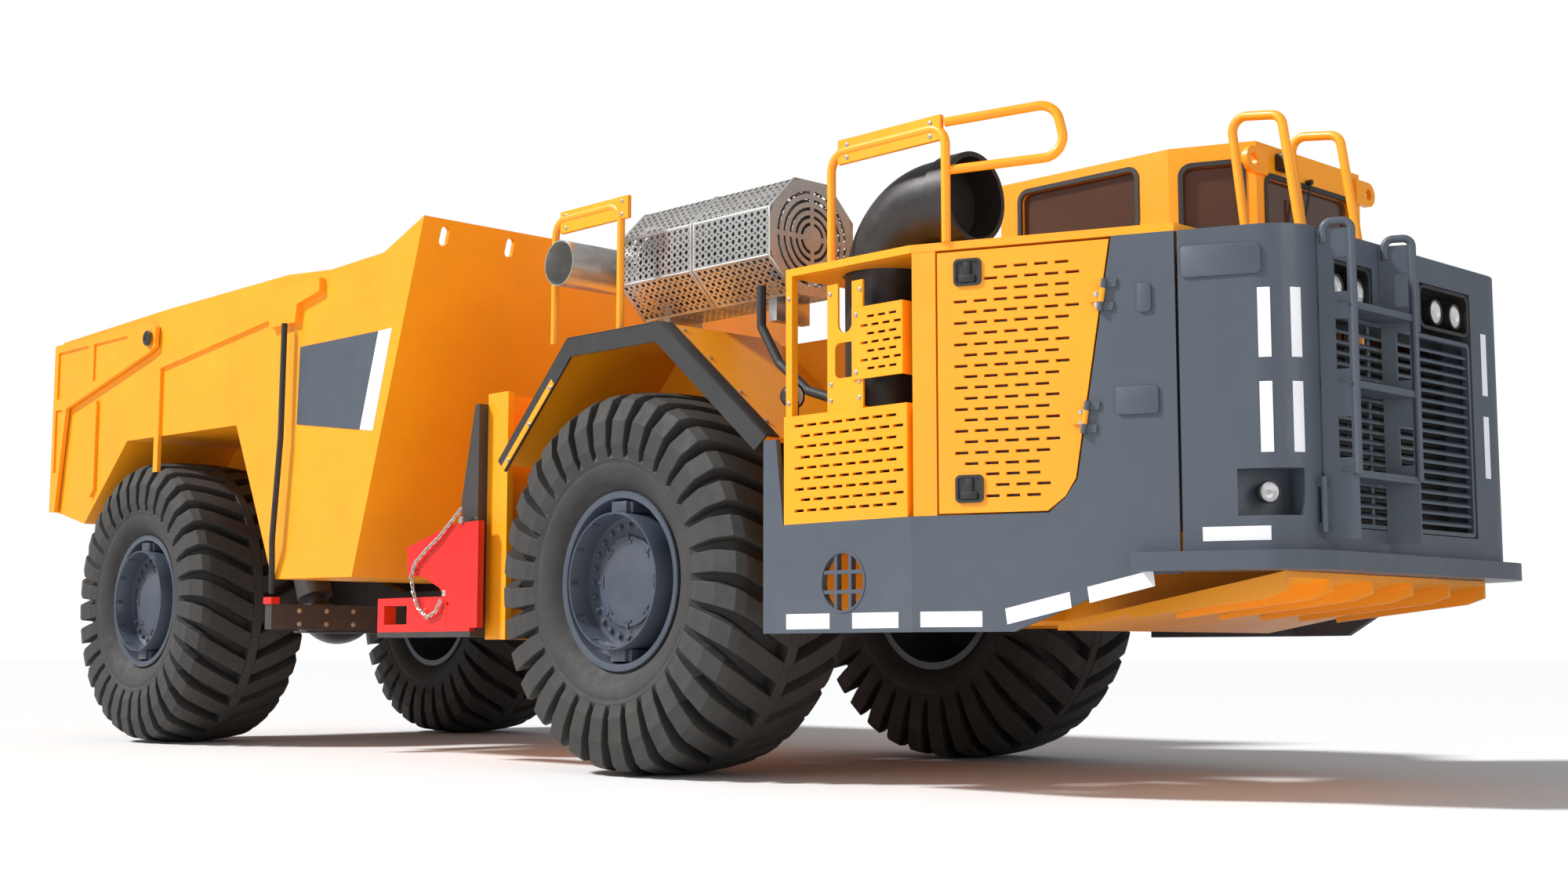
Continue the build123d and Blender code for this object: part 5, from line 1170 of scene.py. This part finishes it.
def makeLockDetails():
    s = chainSettings
    points = [Vector((front(a), y, z)) for a, y, z in s["line"]]
    flat = Vector((0, 1, 0))
    links, left = [], 0.0
    for start, end in zip(points, points[1:]):
        run = end - start
        along = run.normalized()
        while left < run.length:
            side = along.cross(flat).normalized() if len(links) % 2 else flat
            links.append(chainLink(start + along * left, along, side))
            left += s["pitch"] * s["step"]
        left -= run.length
    place(joined(links), "lock chain", "front_unit", boltZinc)
    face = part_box("steering_lock")[0].y
    pins = [bar((front(a), face + out0, z0), (front(a), face + out1, z1), radius, bevel=edge)
            for a, (out0, out1), (z0, z1), radius, edge in s["pins"]]
    place(joined(pins), "lock pins", "front_unit", boltZinc)


makeLockDetails()
print("lock chain ready")


# tread strips on the ladder
treadSettings = {"tops": (1.378, 1.752, 2.085), "count": 10, "y": -0.74, "pitch": 0.048, "width": 0.012,
                 "backInset": 0.062, "frontInset": 0.030, "sunk": 0.0005, "proud": 0.004, "edge": 0.001}


def makeTreads():
    s = treadSettings
    low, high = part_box("ladder_gate")
    pieces = []
    for top in s["tops"]:
        for k in range(s["count"]):
            y = s["y"] + k * s["pitch"]
            pieces.append(slab((low.x + s["backInset"], y, top - s["sunk"]),
                               (high.x - s["frontInset"], y + s["width"], top + s["proud"]), s["edge"], 1))
    place(joined(pieces), "ladder treads", "ladder", greyPaint)


# caps on the tailgate's pins
capSettings = {
    "station": 0.075, "z": 2.865, "outsideBox": 0.052, "sides": 40,
    "profile": ((0, 0.056), (0.008, 0.056), (0.014, 0.050), (0.014, 0.030), (0.009, 0.026), (0.009, 0.001)),
}


def makeCaps():
    s = capSettings
    caps = [soften(turnedPiece((rear(s["station"]), side * (boxSide + s["outsideBox"] + standOff), s["z"]),
                               (0, side, 0), s["profile"], s["sides"])) for side in (-1, 1)]
    place(joined(caps), "tailgate pin caps", "dump_box", blackPaintAndShade)


makeTreads()
makeCaps()
print("ladder and tailgate trim ready")


# floor, lights and camera
stageSettings = {
    "floorSize": 300, "floor": (0.80, 0.80, 0.80), "floorRoughness": 0.8,
    "ambient": 0.34, "ambientColour": (0.94, 0.97, 1.0), "backdrop": 1.0,
    "sun": 4.3, "sunPlace": (-8, -10, 12), "sunTurn": (-0.46, -0.56, 0.69), "sunAngle": 7.0,
    # place, target, size and power
    "lights": {"front": ((17.0, -3.0, 6.0), (3, 0, 1.4), 7.0, 420),
               "side": ((2.0, -16.0, 5.0), (0, 0, 1.2), 9.0, 250)},
}


def makeFloor():
    s = stageSettings
    clearSelection()
    bpy.ops.mesh.primitive_plane_add(size=s["floorSize"], location=(0, 0, 0))
    floor = bpy.context.object
    floor.name = "floor"
    finish = Finish("pale floor")
    finish.give(**{"Base Color": opaque(s["floor"]), "Roughness": s["floorRoughness"]})
    floor.data.materials.append(finish.material)


def makeWorld():
    # soft pale light all round, and plain white where the camera looks past the machine
    s = stageSettings
    world = bpy.data.worlds.new("studio")
    bpy.context.scene.world = world
    world.use_nodes = True
    tree = world.node_tree
    ambient, backdrop = tree.nodes["Background"], tree.nodes.new("ShaderNodeBackground")
    for node, colour, strength in ((ambient, s["ambientColour"], s["ambient"]),
                                   (backdrop, (1, 1, 1), s["backdrop"])):
        node.inputs["Color"].default_value = opaque(colour)
        node.inputs["Strength"].default_value = strength
    path, mix = tree.nodes.new("ShaderNodeLightPath"), tree.nodes.new("ShaderNodeMixShader")
    tree.links.new(path.outputs["Is Camera Ray"], mix.inputs["Fac"])
    tree.links.new(ambient.outputs["Background"], mix.inputs[1])
    tree.links.new(backdrop.outputs["Background"], mix.inputs[2])
    tree.links.new(mix.outputs["Shader"], tree.nodes["World Output"].inputs["Surface"])


def makeLights():
    s = stageSettings
    bpy.ops.object.light_add(type="SUN", location=s["sunPlace"])
    sun = bpy.context.object
    sun.name = "sun"
    sun.data.energy = s["sun"]
    sun.data.angle = radians(s["sunAngle"])
    sun.rotation_euler = Vector(s["sunTurn"]).to_track_quat("Z", "Y").to_euler()
    for name, (spot, target, size, power) in s["lights"].items():
        bpy.ops.object.light_add(type="AREA", location=spot)
        light = bpy.context.object
        light.name = name
        light.data.size = size
        light.data.energy = power
        light.rotation_euler = (Vector(target) - Vector(spot)).to_track_quat("-Z", "Y").to_euler()


cameraSettings = {"place": (front(7.796), -7.948, 0.626), "turn": (96.237, 0.0, 45.849), "lens": 44.637,
                  "sensor": 36, "reach": 300}


def makeCamera():
    s = cameraSettings
    bpy.ops.object.camera_add(location=s["place"], rotation=[radians(angle) for angle in s["turn"]])
    camera = bpy.context.object
    camera.data.lens = s["lens"]
    camera.data.sensor_width = s["sensor"]
    camera.data.clip_end = s["reach"]
    bpy.context.scene.camera = camera


makeFloor()
makeWorld()
makeLights()
makeCamera()
bpy.context.scene.view_settings.view_transform = "Standard"
print("stage and camera ready")
